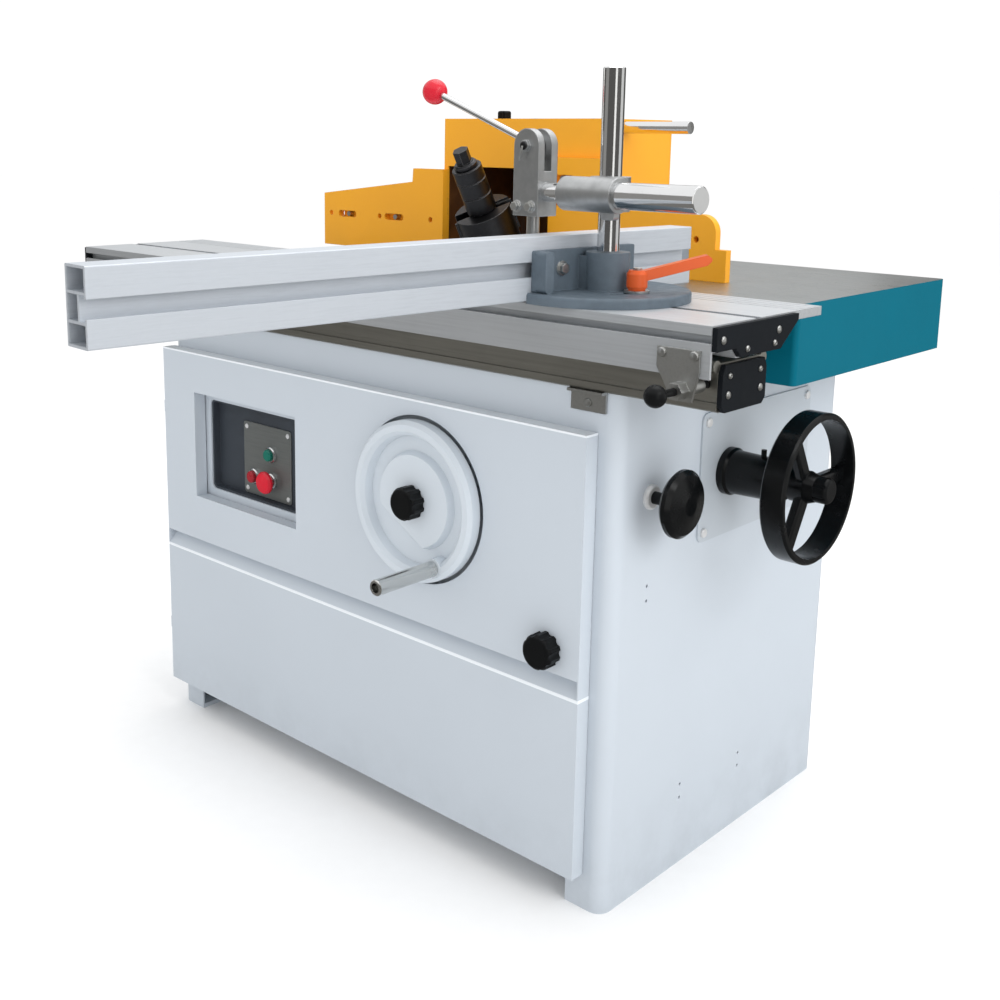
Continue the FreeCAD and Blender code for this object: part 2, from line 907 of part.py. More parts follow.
def front_door():
    t = door_sheet
    floor = door_front + groove_depth
    slope = groove_height - groove_lip
    section = [
        (door_back, door_top), (door_front, door_top), (door_front, groove_top), (floor, groove_top),
        (floor, groove_bottom + slope), (door_front, groove_bottom), (door_front, door_bottom),
        (door_back, door_bottom), (door_back, door_bottom + t), (door_front + t, door_bottom + t),
        (door_front + t, groove_bottom - t), (floor + t, groove_bottom + slope - t),
        (floor + t, groove_top + t),
        (door_front + t, groove_top + t), (door_front + t, door_top - t), (door_back, door_top - t),
    ]
    pan = prism(section, "x", door_left, door_right - door_left)
    ends = [box(x, x + t, door_front, door_back, door_bottom, door_top) for x in (door_left, door_right - t)]
    reveal = box(window_x - t, window_x + window_width + t, door_front, door_back - reveal_gap,
                 window_z - t, window_top + t)
    opening = box(window_x, window_x + window_width, door_front - over, front_wall, window_z, window_top)
    wheel_hole = bore((wheel_x, door_front, wheel_z), Y_AXIS, wheel_radius + wheel_gap, door_proud)
    stem = bore((latch_x, door_front, latch_z), Y_AXIS, latch_stem + clear, door_sheet)
    leaves = [hinge_moving(z) for z in hinge_places]
    return join(pan, *ends, reveal, *leaves).cut(opening).cut(wheel_hole).cut(stem)


def door_bands(door):
    """The lower band, the groove, and the upper band in parts round the handwheel's hole."""
    left = hinge_x - hinge_radius
    groove_low = groove_bottom - door_sheet
    groove_high = groove_top + door_sheet
    half = wheel_radius + wheel_gap + wheel_hole_margin
    hole = (wheel_x - half, wheel_x + half, wheel_z - half, wheel_z + half)
    cells = [(left, door_right, door_bottom, groove_low), (left, door_right, groove_low, groove_high)]
    cells += around((left, door_right, groove_high, door_top), hole)
    for x in (wheel_x - half, wheel_x):
        cells += [(x, x + half, z, z + half) for z in (wheel_z - half, wheel_z)]
    bands = []
    for x0, x1, low, high in cells:
        bands += door.common(box(x0, x1, door_front, front_wall, low, high)).Solids
    return group(*bands)


hinge_x = left_wall - hinge_sheet
hinge_y = front_wall - hinge_radius
hinge_third = hinge_height / 3
hinge_places = (door_bottom + hinge_inset, door_top - hinge_inset - hinge_height)


def hinge_fixed(z):
    parts = [box(hinge_x, left_wall, front_wall + free, front_wall + hinge_leaf, z, z + hinge_height)]
    for low in (z, z + 2 * hinge_third):
        parts.append(rod((hinge_x, hinge_y, low), Z_AXIS, hinge_radius, hinge_third))
        parts.append(box(hinge_x, left_wall, hinge_y, front_wall + 2 * free, low, low + hinge_third))
    parts.append(rod((hinge_x, hinge_y, z), Z_AXIS, hinge_pin, hinge_height))
    return join(*parts)


def hinge_moving(z):
    low = z + hinge_third + slip
    high = z + 2 * hinge_third - slip
    knuckle = rod((hinge_x, hinge_y, low), Z_AXIS, hinge_radius, high - low)
    arm_back = hinge_y - free
    arm = box(hinge_x, door_left, arm_back - hinge_arm, arm_back, low, high)
    leaf = box(door_left - hinge_sheet, door_left, door_front + free, arm_back, low, high)
    return join(knuckle, arm, leaf).cut(bore((hinge_x, hinge_y, z), Z_AXIS, hinge_pin + slip, hinge_height))


def door_latch():
    """The knob's stem goes through the door, and the tongue on it turns behind the front wall."""
    tongue_front = inner_front + free
    tongue_back = tongue_front + tongue_thick
    knob = fluted_knob((latch_x, door_front, latch_z), FRONT, (knob_radius, knob_depth, knob_crown),
                       (knob_flutes, knob_flute, knob_bite), (latch_stem, tongue_back - door_front))
    tongue = box(latch_x - tongue_half, latch_x + tongue_half, tongue_front, tongue_back,
                 latch_z - tongue_reach, latch_z + tongue_half).cut(knob)
    behind = box(latch_x - knob_radius, latch_x + knob_radius, door_front, tongue_back,
                 latch_z - knob_radius, latch_z + knob_radius)
    return group(knob.cut(behind), knob.common(behind), tongue)


nodes["cabinet_body"] = cabinet_sheets(cabinet())
nodes["front_door"] = door_bands(front_door())
nodes["door_hinges"] = group(*[hinge_fixed(z) for z in hinge_places])
nodes["door_latch_knob"] = door_latch()


# Controls in the recess behind the door's window

tray_face = inner_front + tray_depth
panel_face = tray_face - panel_thick
control_x = window_x + control_from_left
control_z = window_top - control_drop
panel_x = control_x - panel_shift
buttons_z = control_z - button_drop
start_place = (control_x, buttons_z + button_spacing / 2)
stop_place = (control_x - button_spacing, buttons_z - button_spacing / 2)
emergency_place = (control_x, buttons_z - button_spacing / 2)
button_places = (start_place, stop_place, emergency_place)


def panel_screw_places():
    half = panel_size / 2 - panel_screw_inset
    return [(panel_x + dx, control_z + dz) for dx in (-half, half) for dz in (-half, half)]


def pierce(shape):
    """Holes for the buttons and the screws, through the panel and the tray behind it."""
    depth = panel_thick + tray_sheet
    for x, z in panel_screw_places():
        shape = shape.cut(bore((x, panel_face, z), Y_AXIS, panel_screw + clear, depth))
    for x, z in button_places:
        shape = shape.cut(bore((x, panel_face, z), Y_AXIS, button_stem + clear, depth))
    return shape


def control_tray():
    right = window_x + window_width
    flange = round_box(window_x, right, inner_front, inner_front + tray_sheet, window_z, window_top, Y_AXIS,
                       tray_corner)
    rim = tray_rim
    cup = round_box(window_x + rim, right - rim, inner_front, tray_face + tray_sheet,
                    window_z + rim, window_top - rim, Y_AXIS, tray_corner)
    rim = tray_rim + tray_sheet
    hollow = round_box(window_x + rim, right - rim, inner_front - over, tray_face,
                       window_z + rim, window_top - rim, Y_AXIS, tray_corner - tray_sheet)
    return pierce(join(flange, cup).cut(hollow))


def control_panel():
    half = panel_size / 2
    return pierce(round_box(panel_x - half, panel_x + half, panel_face, tray_face,
                            control_z - half, control_z + half, Y_AXIS, panel_corner))


def bezel(x, z):
    inside = button_cap + clear
    profile = [(inside, 0), (bezel_radius, 0), (bezel_radius, bezel_height - bezel_cut),
               (bezel_radius - bezel_cut, bezel_height), (inside, bezel_height)]
    return turned(profile, (x, panel_face, z), FRONT)


def push_button(x, z):
    base = button_travel + button_gap
    top = base + button_rise
    profile = [(0, -button_tail), (button_stem, -button_tail), (button_stem, base), (button_cap, base),
               (button_cap, top - button_round), (button_cap - button_round, top), (0, top)]
    return turned(profile, (x, panel_face, z), FRONT)


def emergency_stop(x, z):
    base = bezel_height + stop_travel + button_gap
    profile = [(0, -button_tail), (button_stem, -button_tail), (button_stem, base),
               (stop_radius - stop_edge, base),
               (stop_radius, base + stop_edge), (stop_radius, base + stop_shoulder),
               (stop_radius - stop_edge, base + stop_rise - stop_edge), (0, base + stop_rise)]
    return turned(profile, (x, panel_face, z), FRONT)


def panel_screws():
    length = panel_thick + tray_sheet
    return [dome_bolt((x, panel_face, z), FRONT, panel_screw_head, panel_screw_height, screw_edge,
                      panel_screw, length) for x, z in panel_screw_places()]


nodes["control_recess"] = group(control_tray(), *[bezel(*place) for place in button_places])
nodes["control_plate"] = control_panel()
nodes["start_button"] = push_button(*start_place)
nodes["stop_button"] = push_button(*stop_place)
nodes["emergency_stop"] = emergency_stop(*emergency_place)


# Height handwheel on the front

wheel_back = door_front + wheel_sink
wheel_front = wheel_back - wheel_depth
plateau_face = wheel_front + plateau_sink
crank_angle = math.radians(crank_turn)
crank_x = wheel_x + crank_circle * math.cos(crank_angle)
crank_z = wheel_z + crank_circle * math.sin(crank_angle)
crank_seat = wheel_front - crank_boss_rise
lift_box_front = inner_front + nose_length


def height_wheel():
    r = wheel_radius
    d = wheel_depth
    e = wheel_round
    inside = r - wheel_rim
    middle = (wheel_x, wheel_back, wheel_z)
    rim = [(0, 0), (r - e, 0), (r, e), (r, d - e), (r - e, d), (inside + e, d), (inside, d - e),
           (inside - wheel_slope, wheel_web), (0, wheel_web)]
    top = d - plateau_sink
    plateau = turned([(0, 0), (plateau_radius, 0), (plateau_radius, wheel_web),
                      (plateau_radius - plateau_slope, top), (0, top)], middle, FRONT)
    chord = box(-2 * r, 2 * r, -2 * r, 0, -2 * r, -plateau_chord)
    chord.rotate(V(0, 0, 0), V(0, 1, 0), plateau_turn)
    chord.translate(V(wheel_x, wheel_back - wheel_web, wheel_z))
    shaft_end = lift_box_front + shaft_in_box
    shaft = rod(middle, Y_AXIS, shaft_radius, shaft_end - wheel_back)
    boss = rod((crank_x, crank_seat, crank_z), Y_AXIS, crank_radius + crank_boss_wall,
               wheel_back - crank_seat)
    stud = rod((crank_x, crank_seat, crank_z), FRONT, crank_stud, crank_stud_length)
    lock = bore((wheel_x, plateau_face, wheel_z), Y_AXIS, lock_stem + slip, lock_stem_length)
    return join(turned(rim, middle, FRONT), plateau.cut(chord), shaft, boss, stud).cut(lock)


def crank_handle():
    start = (crank_x, crank_seat - clear, crank_z)
    handle = rod(start, FRONT, crank_radius, crank_length)
    rings = [e for e in handle.Edges if abs(e.BoundBox.YMin - e.BoundBox.YMax) < 0.01]
    handle = handle.makeChamfer(crank_bevel, rings)
    end = (crank_x, start[1] - crank_length, crank_z)
    return handle.cut(rod(start, FRONT, crank_stud + slip, crank_stud_length + over)).cut(
        rod(end, Y_AXIS, crank_end_bore, crank_end_depth))


def lift_gearbox():
    nose = turned([(0, 0), (nose_flange, 0), (nose_flange, nose_flange_thick),
                   (nose_radius, nose_flange_thick),
                   (nose_radius, nose_length), (0, nose_length)], (wheel_x, inner_front, wheel_z), Y_AXIS)
    half = lift_box_half
    housing = round_box(wheel_x - half, wheel_x + half, lift_box_front, lift_box_front + lift_box_length,
                        wheel_z - half, wheel_z + half, Y_AXIS, lift_box_corner)
    shaft = bore((wheel_x, inner_front, wheel_z), Y_AXIS, shaft_radius + slip, nose_length + shaft_in_box)
    return join(nose, housing).cut(shaft)


nodes["height_wheel"] = height_wheel()
nodes["crank_handle"] = crank_handle()
nodes["height_lock_knob"] = fluted_knob((wheel_x, plateau_face - clear, wheel_z), FRONT,
                                        (knob_radius, knob_depth, knob_crown),
                                        (knob_flutes, knob_flute, knob_bite), (lock_stem, lock_stem_length))
nodes["lift_gearbox"] = lift_gearbox()


# Right side of the cabinet

plate_face = right_wall + plate_sheet
tilt_front = right_wall + tilt_reach
tilt_back = tilt_front - tilt_rim_depth
hub_front = tilt_front - tilt_hub_sink
tilt_box_left = spindle_x + frame_half + frame_plate + frame_gap + trunnion_plate
tilt_box_right = tilt_box_left + tilt_box_length


def side_plate():
    plate = round_box(right_wall, plate_face, plate_front, plate_back, plate_bottom, plate_top, X_AXIS,
                      plate_corner)
    plate = plate.cut(bore((right_wall, tilt_y, tilt_z), X_AXIS, tilt_shaft + shaft_hole_gap, plate_sheet))
    for y, z in plate_bolt_places():
        plate = plate.cut(bore((right_wall, y, z), X_AXIS, plate_bolt + clear, plate_sheet))
    return plate


def side_bolts():
    length = plate_sheet + sheet + plate_bolt_tail
    return [dome_bolt((plate_face, y, z), X_AXIS, plate_bolt_head, plate_bolt_height, screw_edge, plate_bolt,
                      length) for y, z in plate_bolt_places()]


def tilt_sleeve():
    inside = tilt_shaft + slip
    waist = sleeve_radius - sleeve_taper
    profile = [(inside, 0), (sleeve_radius, 0), (sleeve_radius, sleeve_flange),
               (sleeve_radius - sleeve_step, sleeve_flange + sleeve_nose),
               (waist, sleeve_length - sleeve_nose),
               (waist - sleeve_nose, sleeve_length), (inside, sleeve_length)]
    body = turned(profile, (plate_face, tilt_y, tilt_z), X_AXIS)
    pin_foot = tilt_z + waist - sleeve_nose
    pin_top = tilt_z + sleeve_radius + sleeve_pin_rise
    pin = rod((plate_face + sleeve_pin_from, tilt_y, pin_foot), Z_AXIS, sleeve_pin, pin_top - pin_foot)
    return join(body, pin)


def tilt_wheel():
    r = tilt_radius
    e = tilt_rim_edge
    d = tilt_rim_depth
    inside = r - tilt_rim_wall
    start = (tilt_back, tilt_y, tilt_z)
    rim = turned([(inside, 0), (r - e, 0), (r, e), (r, d - e), (r - e, d), (inside, d)], start, X_AXIS)
    hub = turned([(0, -tilt_hub_back), (tilt_hub, -tilt_hub_back), (tilt_hub, tilt_hub_shoulder),
                  (tilt_hub_nose, d - tilt_hub_sink), (0, d - tilt_hub_sink)], start, X_AXIS)
    parts = [rim, hub]
    for number in range(spoke_count):
        spoke = box(tilt_back + spoke_back, tilt_front - spoke_front, -spoke_half, spoke_half,
                    tilt_hub_nose - spoke_round, inside + e)
        spoke = spoke.makeFillet(spoke_round, along(spoke, Z_AXIS))
        spoke.rotate(V(0, 0, 0), V(1, 0, 0), 360 / spoke_count * number + spoke_turn)
        spoke.translate(V(0, tilt_y, tilt_z))
        parts.append(spoke)
    shaft_end = tilt_box_right - shaft_in_box
    parts.append(rod((shaft_end, tilt_y, tilt_z), X_AXIS, tilt_shaft, tilt_back - shaft_end))
    lock = bore((hub_front - lobe_stem_length, tilt_y, tilt_z), X_AXIS, lock_stem + slip, lobe_stem_length)
    return join(*parts).cut(lock)


def clamp_knob():
    r = clamp_knob_radius
    edge = clamp_knob_edge
    front = clamp_knob_reach
    back = front - clamp_knob_thick
    cone = clamp_knob_cone
    profile = [(0, -clamp_tail), (clamp_stem, -clamp_tail), (clamp_stem, back - 2 * cone),
               (clamp_knob_neck, back - cone),
               (clamp_knob_throat, back - cone), (r - edge, back), (r, back + edge), (r, front - 2 * edge),
               (r - edge, front - edge), (clamp_knob_throat, front - clamp_knob_dish),
               (clamp_knob_neck, front), (0, front)]
    return turned(profile, (right_wall, clamp_knob_y, clamp_knob_z), X_AXIS)


def clamp_ring():
    inside = clamp_stem + slip
    r = clamp_ring_radius
    h = clamp_ring_height
    e = clamp_ring_edge
    return turned([(inside, 0), (r, 0), (r, h - e), (r - e, h), (inside, h)],
                  (right_wall, clamp_knob_y, clamp_knob_z), X_AXIS)


def tilt_gearbox():
    half = tilt_box_half
    housing = round_box(tilt_box_left, tilt_box_right, tilt_y - half, tilt_y + half, tilt_z - half,
                        tilt_z + half,
                        X_AXIS, tilt_box_corner)
    return housing.cut(rod((tilt_box_right - shaft_in_box - free, tilt_y, tilt_z), X_AXIS, tilt_shaft + slip,
                           tilt_box_length))


nodes["side_plate"] = side_plate()
nodes["tilt_sleeve"] = tilt_sleeve()
nodes["tilt_wheel"] = tilt_wheel()
nodes["tilt_lock_knob"] = fluted_knob((hub_front + clear, tilt_y, tilt_z), X_AXIS,
                                      (lobe_radius, lobe_depth, lobe_crown),
                                      (lobe_count, lobe_flute, lobe_bite), (lock_stem, lobe_stem_length))
nodes["tilt_clamp_knob"] = clamp_knob()
nodes["panel_screws"] = group(*panel_screws(), *side_bolts(), clamp_ring())
nodes["tilt_gearbox"] = tilt_gearbox()


# Cast table with skirt, ribs, ring seat and ring

def machine_table():
    under = table_top - table_plate
    block = box(table_left, table_right, table_front, table_back, cabinet_height, table_top)
    block = block.makeFillet(table_corner, along(block, Z_AXIS))
    lefts = [table_left + table_skirt] + [spindle_x + place + table_rib / 2 for place in table_ribs]
    rights = [spindle_x + place - table_rib / 2 for place in table_ribs] + [table_right - table_skirt]
    for left, right in zip(lefts, rights):
        block = block.cut(round_box(left, right, table_front + table_skirt, table_back - table_skirt,
                                    cabinet_height - over, under, Z_AXIS, bay_corner))
    seat = rod((spindle_x, spindle_y, table_top - ring_depth), Z_AXIS, ring_radius, ring_depth + over)
    hole = bore((spindle_x, spindle_y, under), Z_AXIS, ring_radius - ring_ledge, table_plate)
    return block.cut(seat).cut(hole)


nodes["machine_table"] = machine_table()
nodes["table_ring"] = tube((spindle_x, spindle_y, table_top - ring_depth), Z_AXIS, ring_radius - clear,
                           ring_bore, ring_depth)


# Guide beam, with its bars, caps and brackets

beam_back = beam_front + beam_width
beam_bottom = cabinet_height
beam_top = slide_bottom - shoe_height
beam_length = beam_right - beam_left
bar_z = beam_top - bar_sink
front_bar = beam_front - bar_overhang
back_bar = beam_back + bar_overhang
plunger_z = slide_top - plunger_drop


def guide_beam():
    w = beam_wall
    outer = round_box(beam_left, beam_right, beam_front, beam_back, beam_bottom, beam_top, X_AXIS,
                      beam_corner)
    inner = round_box(beam_left - over, beam_right + over, beam_front + w, beam_back - w,
                      beam_bottom + w, beam_top - beam_roof, X_AXIS, beam_corner)
    slot_low = beam_bottom + beam_slot_rise
    slot = box(beam_left - over, beam_right + over, beam_front - over, beam_front + beam_slot_depth,
               slot_low, slot_low + beam_slot_height)
    body = outer.cut(inner).cut(slot)
    for y in (front_bar, back_bar):
        body = body.cut(bore((beam_left, y, bar_z), X_AXIS, bar_radius, beam_length))
    return body.cut(bore((plunger_x, beam_front, plunger_z), Y_AXIS, plunger_pin + clear, beam_wall))


def guide_bars():
    return [rod((beam_left, y, bar_z), X_AXIS, bar_radius, beam_length) for y in (front_bar, back_bar)]


def beam_cap(x, sign):
    start = min(x, x + sign * cap_depth)
    top = beam_top - beam_cap_top
    cut = beam_cap_cut
    outline = [(beam_front + cut, beam_bottom), (beam_back - cut, beam_bottom),
               (beam_back, beam_bottom + cut),
               (beam_back, top - beam_cap_notch), (beam_back - beam_cap_notch / 2, top),
               (beam_front + beam_cap_notch / 2, top), (beam_front, top - beam_cap_notch),
               (beam_front, beam_bottom + cut)]
    parts = [prism(outline, "x", start, cap_depth)]
    for y in (beam_front + beam_screw_inset, beam_back - beam_screw_inset):
        parts.append(cap_screw_at(x + sign * cap_depth, y, beam_bottom + beam_screw_rise, sign))
    return join(*parts)


def cap_screw_at(x, y, z, sign):
    shank = cap_screw / 2
    return dome_bolt((x, y, z), (sign, 0, 0), cap_screw, cap_screw_height, screw_edge, shank, shank)


def beam_bracket(x):
    face = front_wall - bracket_sheet
    left = x - bracket_half
    right = x + bracket_half
    leg = box(left, right, face, front_wall, cabinet_height - bracket_leg, cabinet_height)
    shelf = box(left, right, beam_front - bracket_sheet, front_wall, cabinet_height - bracket_sheet,
                cabinet_height)
    screw = dome_bolt((x, face, cabinet_height - bracket_screw_drop), FRONT, bracket_screw,
                      bracket_screw_height,
                      screw_edge, bracket_screw / 2, bracket_sheet / 2)
    return join(leg, shelf, screw)


nodes["guide_beam"] = group(guide_beam(), *guide_bars())
nodes["beam_caps"] = group(beam_cap(beam_right, 1), beam_cap(beam_left, -1))
nodes["beam_brackets"] = group(beam_bracket(right_wall - bracket_from_wall),
                               beam_bracket(left_wall + bracket_from_wall))


# Sliding table: one extrusion with a T-slot on top, another in its front edge, hollow cells and a thin flange

slide_length = slide_right - slide_left
slide_shallow = slide_top - slide_front_depth
slide_step = slide_front + slide_front_width
slide_keel = slide_step + slide_step_width
slide_heel = slide_body_back - slide_slope


def through(outline):
    """An outline cut along the whole sliding table."""
    return prism(outline, "x", slide_left - over, slide_length + 2 * over)


def slide_outline(inset):
    """The section of the body without its flange, drawn in by an inset at the bottom and the front."""
    return [(slide_front + inset, slide_shallow + inset), (slide_step, slide_shallow + inset),
            (slide_keel, slide_bottom + inset), (slide_heel, slide_bottom + inset)]


def t_slots():
    top = slide_top
    half = slot_mouth / 2
    wide = slot_inner / 2
    lip = top - slot_lip
    floor = top - slot_depth
    upper = [(slot_y - half, top + over), (slot_y - half, lip), (slot_y - wide, lip), (slot_y - wide, floor),
             (slot_y + wide, floor), (slot_y + wide, lip), (slot_y + half, lip), (slot_y + half, top + over)]
    mid = top - slide_front_depth / 2
    half = edge_slot_mouth / 2
    wide = edge_slot_inner / 2
    lip = slide_front + edge_slot_lip
    floor = slide_front + edge_slot_depth
    edge = [(slide_front - over, mid - half), (lip, mid - half), (lip, mid - wide), (floor, mid - wide),
            (floor, mid + wide), (lip, mid + wide), (lip, mid + half), (slide_front - over, mid + half)]
    return [through(upper), through(edge)]


def hollow_cells():
    w = slide_wall
    floor = slide_bottom + w
    roof = slide_top - w
    post_left = slot_y - slot_inner / 2 - slide_post
    post_right = slot_y + slot_inner / 2 + slide_post
    slot_floor = slide_top - slot_depth - w
    front = slide_front + edge_slot_depth + cell_gap
    outlines = [
        [(front, slide_shallow + w), (slide_step - w, slide_shallow + w), (slide_step - w, roof),
         (front, roof)],
        [(slide_keel + w, floor), (post_left, floor), (post_left, roof), (slide_keel + w, roof)],
        [(post_left + w, floor), (post_right - w, floor), (post_right - w, slot_floor),
         (post_left + w, slot_floor)],
        [(post_right, floor), (slide_heel - w, floor), (slide_body_back - slide_flange, roof - 2 * w),
         (slide_body_back - slide_flange, roof), (post_right, roof)],
    ]
    return [through(outline) for outline in outlines]


def sliding_table():
    flange = slide_top - slide_flange
    outline = slide_outline(0) + [(slide_body_back, flange), (slide_back, flange), (slide_back, slide_top),
                                  (slide_front, slide_top)]
    apron = box(slide_left, slide_right, slide_front, slide_front + apron_sheet,
                slide_top - apron_drop, slide_shallow)
    body = join(prism(outline, "x", slide_left, slide_length), apron)
    for cut in t_slots() + hollow_cells():
        body = body.cut(cut)
    for number in range(grip_grooves):
        y = slide_body_back + grip_start + number * grip_pitch
        body = body.cut(box(slide_left - over, slide_right + over, y, y + grip_width,
                            slide_top - grip_depth, slide_top + over))
    return body


def slide_cap(x, sign):
    start = min(x, x + sign * cap_depth)
    top = slide_top - cap_inset
    outline = slide_outline(cap_inset) + [(slide_body_back, slide_top - slide_flange + cap_inset),
                                          (slide_body_back, top), (slide_front + cap_inset, top)]
    parts = [prism(outline, "x", start, cap_depth)]
    for y in (slide_front + cap_screw_front, slide_body_back - cap_screw_back):
        parts.append(cap_screw_at(x + sign * cap_depth, y, slide_top - cap_screw_drop, sign))
    return join(*parts)


def slide_shoes():
    shoes = []
    for x in shoe_places:
        for y, front in ((front_bar, front_bar - shoe_lap), (back_bar, back_bar + shoe_lap - shoe_width)):
            block = box(x - shoe_length / 2, x + shoe_length / 2, front, front + shoe_width,
                        beam_top + free, slide_bottom)
            shoes.append(block.cut(bore((x - shoe_length, y, bar_z), X_AXIS, bar_radius + slip,
                                        2 * shoe_length)))
    return group(*shoes)


# Index plunger and its holder on the sliding table's front

plunger_tip = beam_front - plunger_gap
plunger_end = slide_front - plunger_reach


def plunger_bracket():
    face = slide_front
    front = face - holder_sheet
    left = plunger_x - holder_left
    right = plunger_x + holder_right
    top = slide_top - holder_drop
    side = top - holder_side
    foot = plunger_z - holder_foot
    outline = [(left, top), (left, side), (plunger_x - holder_foot, foot), (plunger_x + holder_foot, foot),
               (right, side), (right, top)]
    parts = [prism(outline, "y", front, holder_sheet)]
    parts.append(hex_bar((plunger_x, front, plunger_z), FRONT, barrel_flats, barrel_length))
    parts.append(rod((plunger_x, front, plunger_z), Y_AXIS, barrel_sleeve, barrel_sleeve_length))
    for x in (left + holder_screw_inset, right - holder_screw_inset):
        parts.append(dome_bolt((x, front, top - holder_screw_inset), FRONT, holder_screw, holder_screw_height,
                               screw_edge, holder_screw / 2, holder_sheet / 2))
    hole = bore((plunger_x, front - barrel_length, plunger_z), Y_AXIS, plunger_pin + slip,
                barrel_length + barrel_sleeve_length)
    return join(*parts).cut(hole)


def index_plunger():
    pin = rod((plunger_x, plunger_end, plunger_z), Y_AXIS, plunger_pin, plunger_tip - plunger_end)
    ball = Part.makeSphere(plunger_ball, V(plunger_x, plunger_end - plunger_ball + plunger_ball_sink,
                                           plunger_z))
    return join(pin, ball)


nodes["sliding_table"] = sliding_table()
nodes["slide_caps"] = group(slide_cap(slide_right, 1), slide_cap(slide_left, -1))
nodes["slide_shoes"] = slide_shoes()
nodes["plunger_bracket"] = plunger_bracket()
nodes["index_plunger"] = index_plunger()


# Crosscut fence, drawn square to the sliding table and then turned about its pivot

fence_bottom = slide_top + fence_lift
groove_mid = fence_bottom + groove_lift
fence_face = pivot_x - fence_offset
fence_front = slot_y - fence_front_reach
fence_length = fence_front_reach + fence_back_reach
fence_screw_places = (slot_y - fence_screw_front, slot_y + fence_screw_back)
base_bottom = slide_top
base_top = base_bottom + base_thick
web_face = fence_face + web_thick
lever_x = pivot_x + lever_offset


def turn_fence(shape):
    shape.rotate(V(pivot_x, slot_y, 0), V(0, 0, 1), fence_turn)
    return shape


def crosscut_fence():
    w = fence_wall
    x0 = fence_face - fence_width
    x1 = fence_face
    z1 = fence_bottom + fence_height
    body = round_box(x0, x1, fence_front, fence_front + fence_length, fence_bottom, z1, Y_AXIS, fence_corner)
    mid = groove_mid
    wide = groove_inner / 2
    half = groove_mouth / 2
    floor = x1 - groove_back
    slot = [(x1 + over, mid - half), (x1 - w, mid - half), (x1 - w, mid - wide), (floor, mid - wide),
            (floor, mid + wide), (x1 - w, mid + wide), (x1 - w, mid + half), (x1 + over, mid + half)]
    body = body.cut(prism(slot, "y", fence_front - over, fence_length + 2 * over))
    cells = [
        (x0 + w, x1 - w, mid + wide + w, z1 - w),
        (x0 + w, x1 - w, fence_bottom + w, mid - wide - w),
        (x0 + w, floor - w, mid - wide, mid + wide),
    ]
    for left, right, low, high in cells:
        body = body.cut(box(left, right, fence_front - over, fence_front + fence_length + over, low, high))
    return body


def base_plate():
    """A disc with one flat side against the fence, a pivot pin below and an arc slot for the stud."""
    disc = rod((pivot_x - base_shift_x, slot_y + base_shift_y, base_bottom), Z_AXIS, base_radius, base_thick)
    disc = disc.makeFillet(base_round, [e for e in disc.Edges if abs(e.BoundBox.ZMin - base_top) < 0.01])
    reach = 2 * base_radius
    behind = box(fence_face - reach, fence_face, slot_y - reach, slot_y + reach, base_bottom - over,
                 base_top + over)
    pin_bottom = slide_top - slot_lip - pivot_pin_drop
    pin = rod((pivot_x, slot_y, pin_bottom), Z_AXIS, stud_radius, base_bottom - pin_bottom)
    arc = arc_slot(lever_offset, stud_radius + 2 * clear, -swivel_left - fence_turn - swivel_spare,
                   swivel_right - fence_turn + swivel_spare, base_thick + 2 * over)
    arc.translate(V(pivot_x, slot_y, base_bottom - over))
    return join(disc.cut(behind), pin).cut(arc).cut(pillar_bore())


def pillar_bore():
    return rod((pivot_x, slot_y, base_bottom + pillar_seat), Z_AXIS, pillar_radius + slip,
               base_thick + boss_height)


def base_boss():
    """The pillar's socket, tied to the web by a bridge."""
    boss = rod((pivot_x, slot_y, base_top), Z_AXIS, boss_radius, boss_height)
    bridge = box(web_face, pivot_x, slot_y - bridge_half, slot_y + bridge_half,
                 base_top, base_top + boss_height - bridge_drop)
    web_side = box(fence_face, web_face, slot_y - boss_radius, slot_y + boss_radius, base_top - over,
                   base_top + web_height)
    return join(boss, bridge).cut(pillar_bore()).cut(web_side)


def base_web():
    web_top = base_top + web_height
    front = slot_y - web_front_reach
    web = round_box(fence_face, web_face, front, slot_y + web_back_reach, base_top, web_top, X_AXIS,
                    web_corner)
    ear = round_box(fence_face, fence_face + ear_length, front, front + ear_thick, base_top, web_top, X_AXIS,
                    ear_corner)
    body = join(web, ear)
    for y in fence_screw_places:
        body = body.cut(bore((fence_face, y, groove_mid), X_AXIS, fence_screw, web_thick))
    return body


def fence_screws():
    screws = []
    z = groove_mid
    back = fence_face - fence_nut_depth
    half = fence_nut_half
    for y in fence_screw_places:
        shank = rod((back, y, z), X_AXIS, fence_screw, fence_nut_depth + web_thick)
        nut = box(back, fence_face - fence_wall, y - fence_nut, y + fence_nut, z - half, z + half)
        washer = rod((web_face, y, z), X_AXIS, fence_washer, fence_washer_thick)
        head = hex_bar((web_face + fence_washer_thick, y, z), X_AXIS, fence_head_flats, fence_head)
        screws.append(join(shank, nut, washer, head))
    return screws


def lever_stud():
    nut_bottom = slide_top - slot_depth + free
    half = slot_inner / 2 - free
    nut = box(lever_x - stud_nut_half, lever_x + stud_nut_half, slot_y - half, slot_y + half,
              nut_bottom, slide_top - slot_lip)
    stud = rod((lever_x, slot_y, nut_bottom), Z_AXIS, stud_radius, base_top + stud_height - nut_bottom)
    washer = rod((lever_x, slot_y, base_top), Z_AXIS, stud_washer, stud_washer_thick)
    return join(nut, stud, washer)


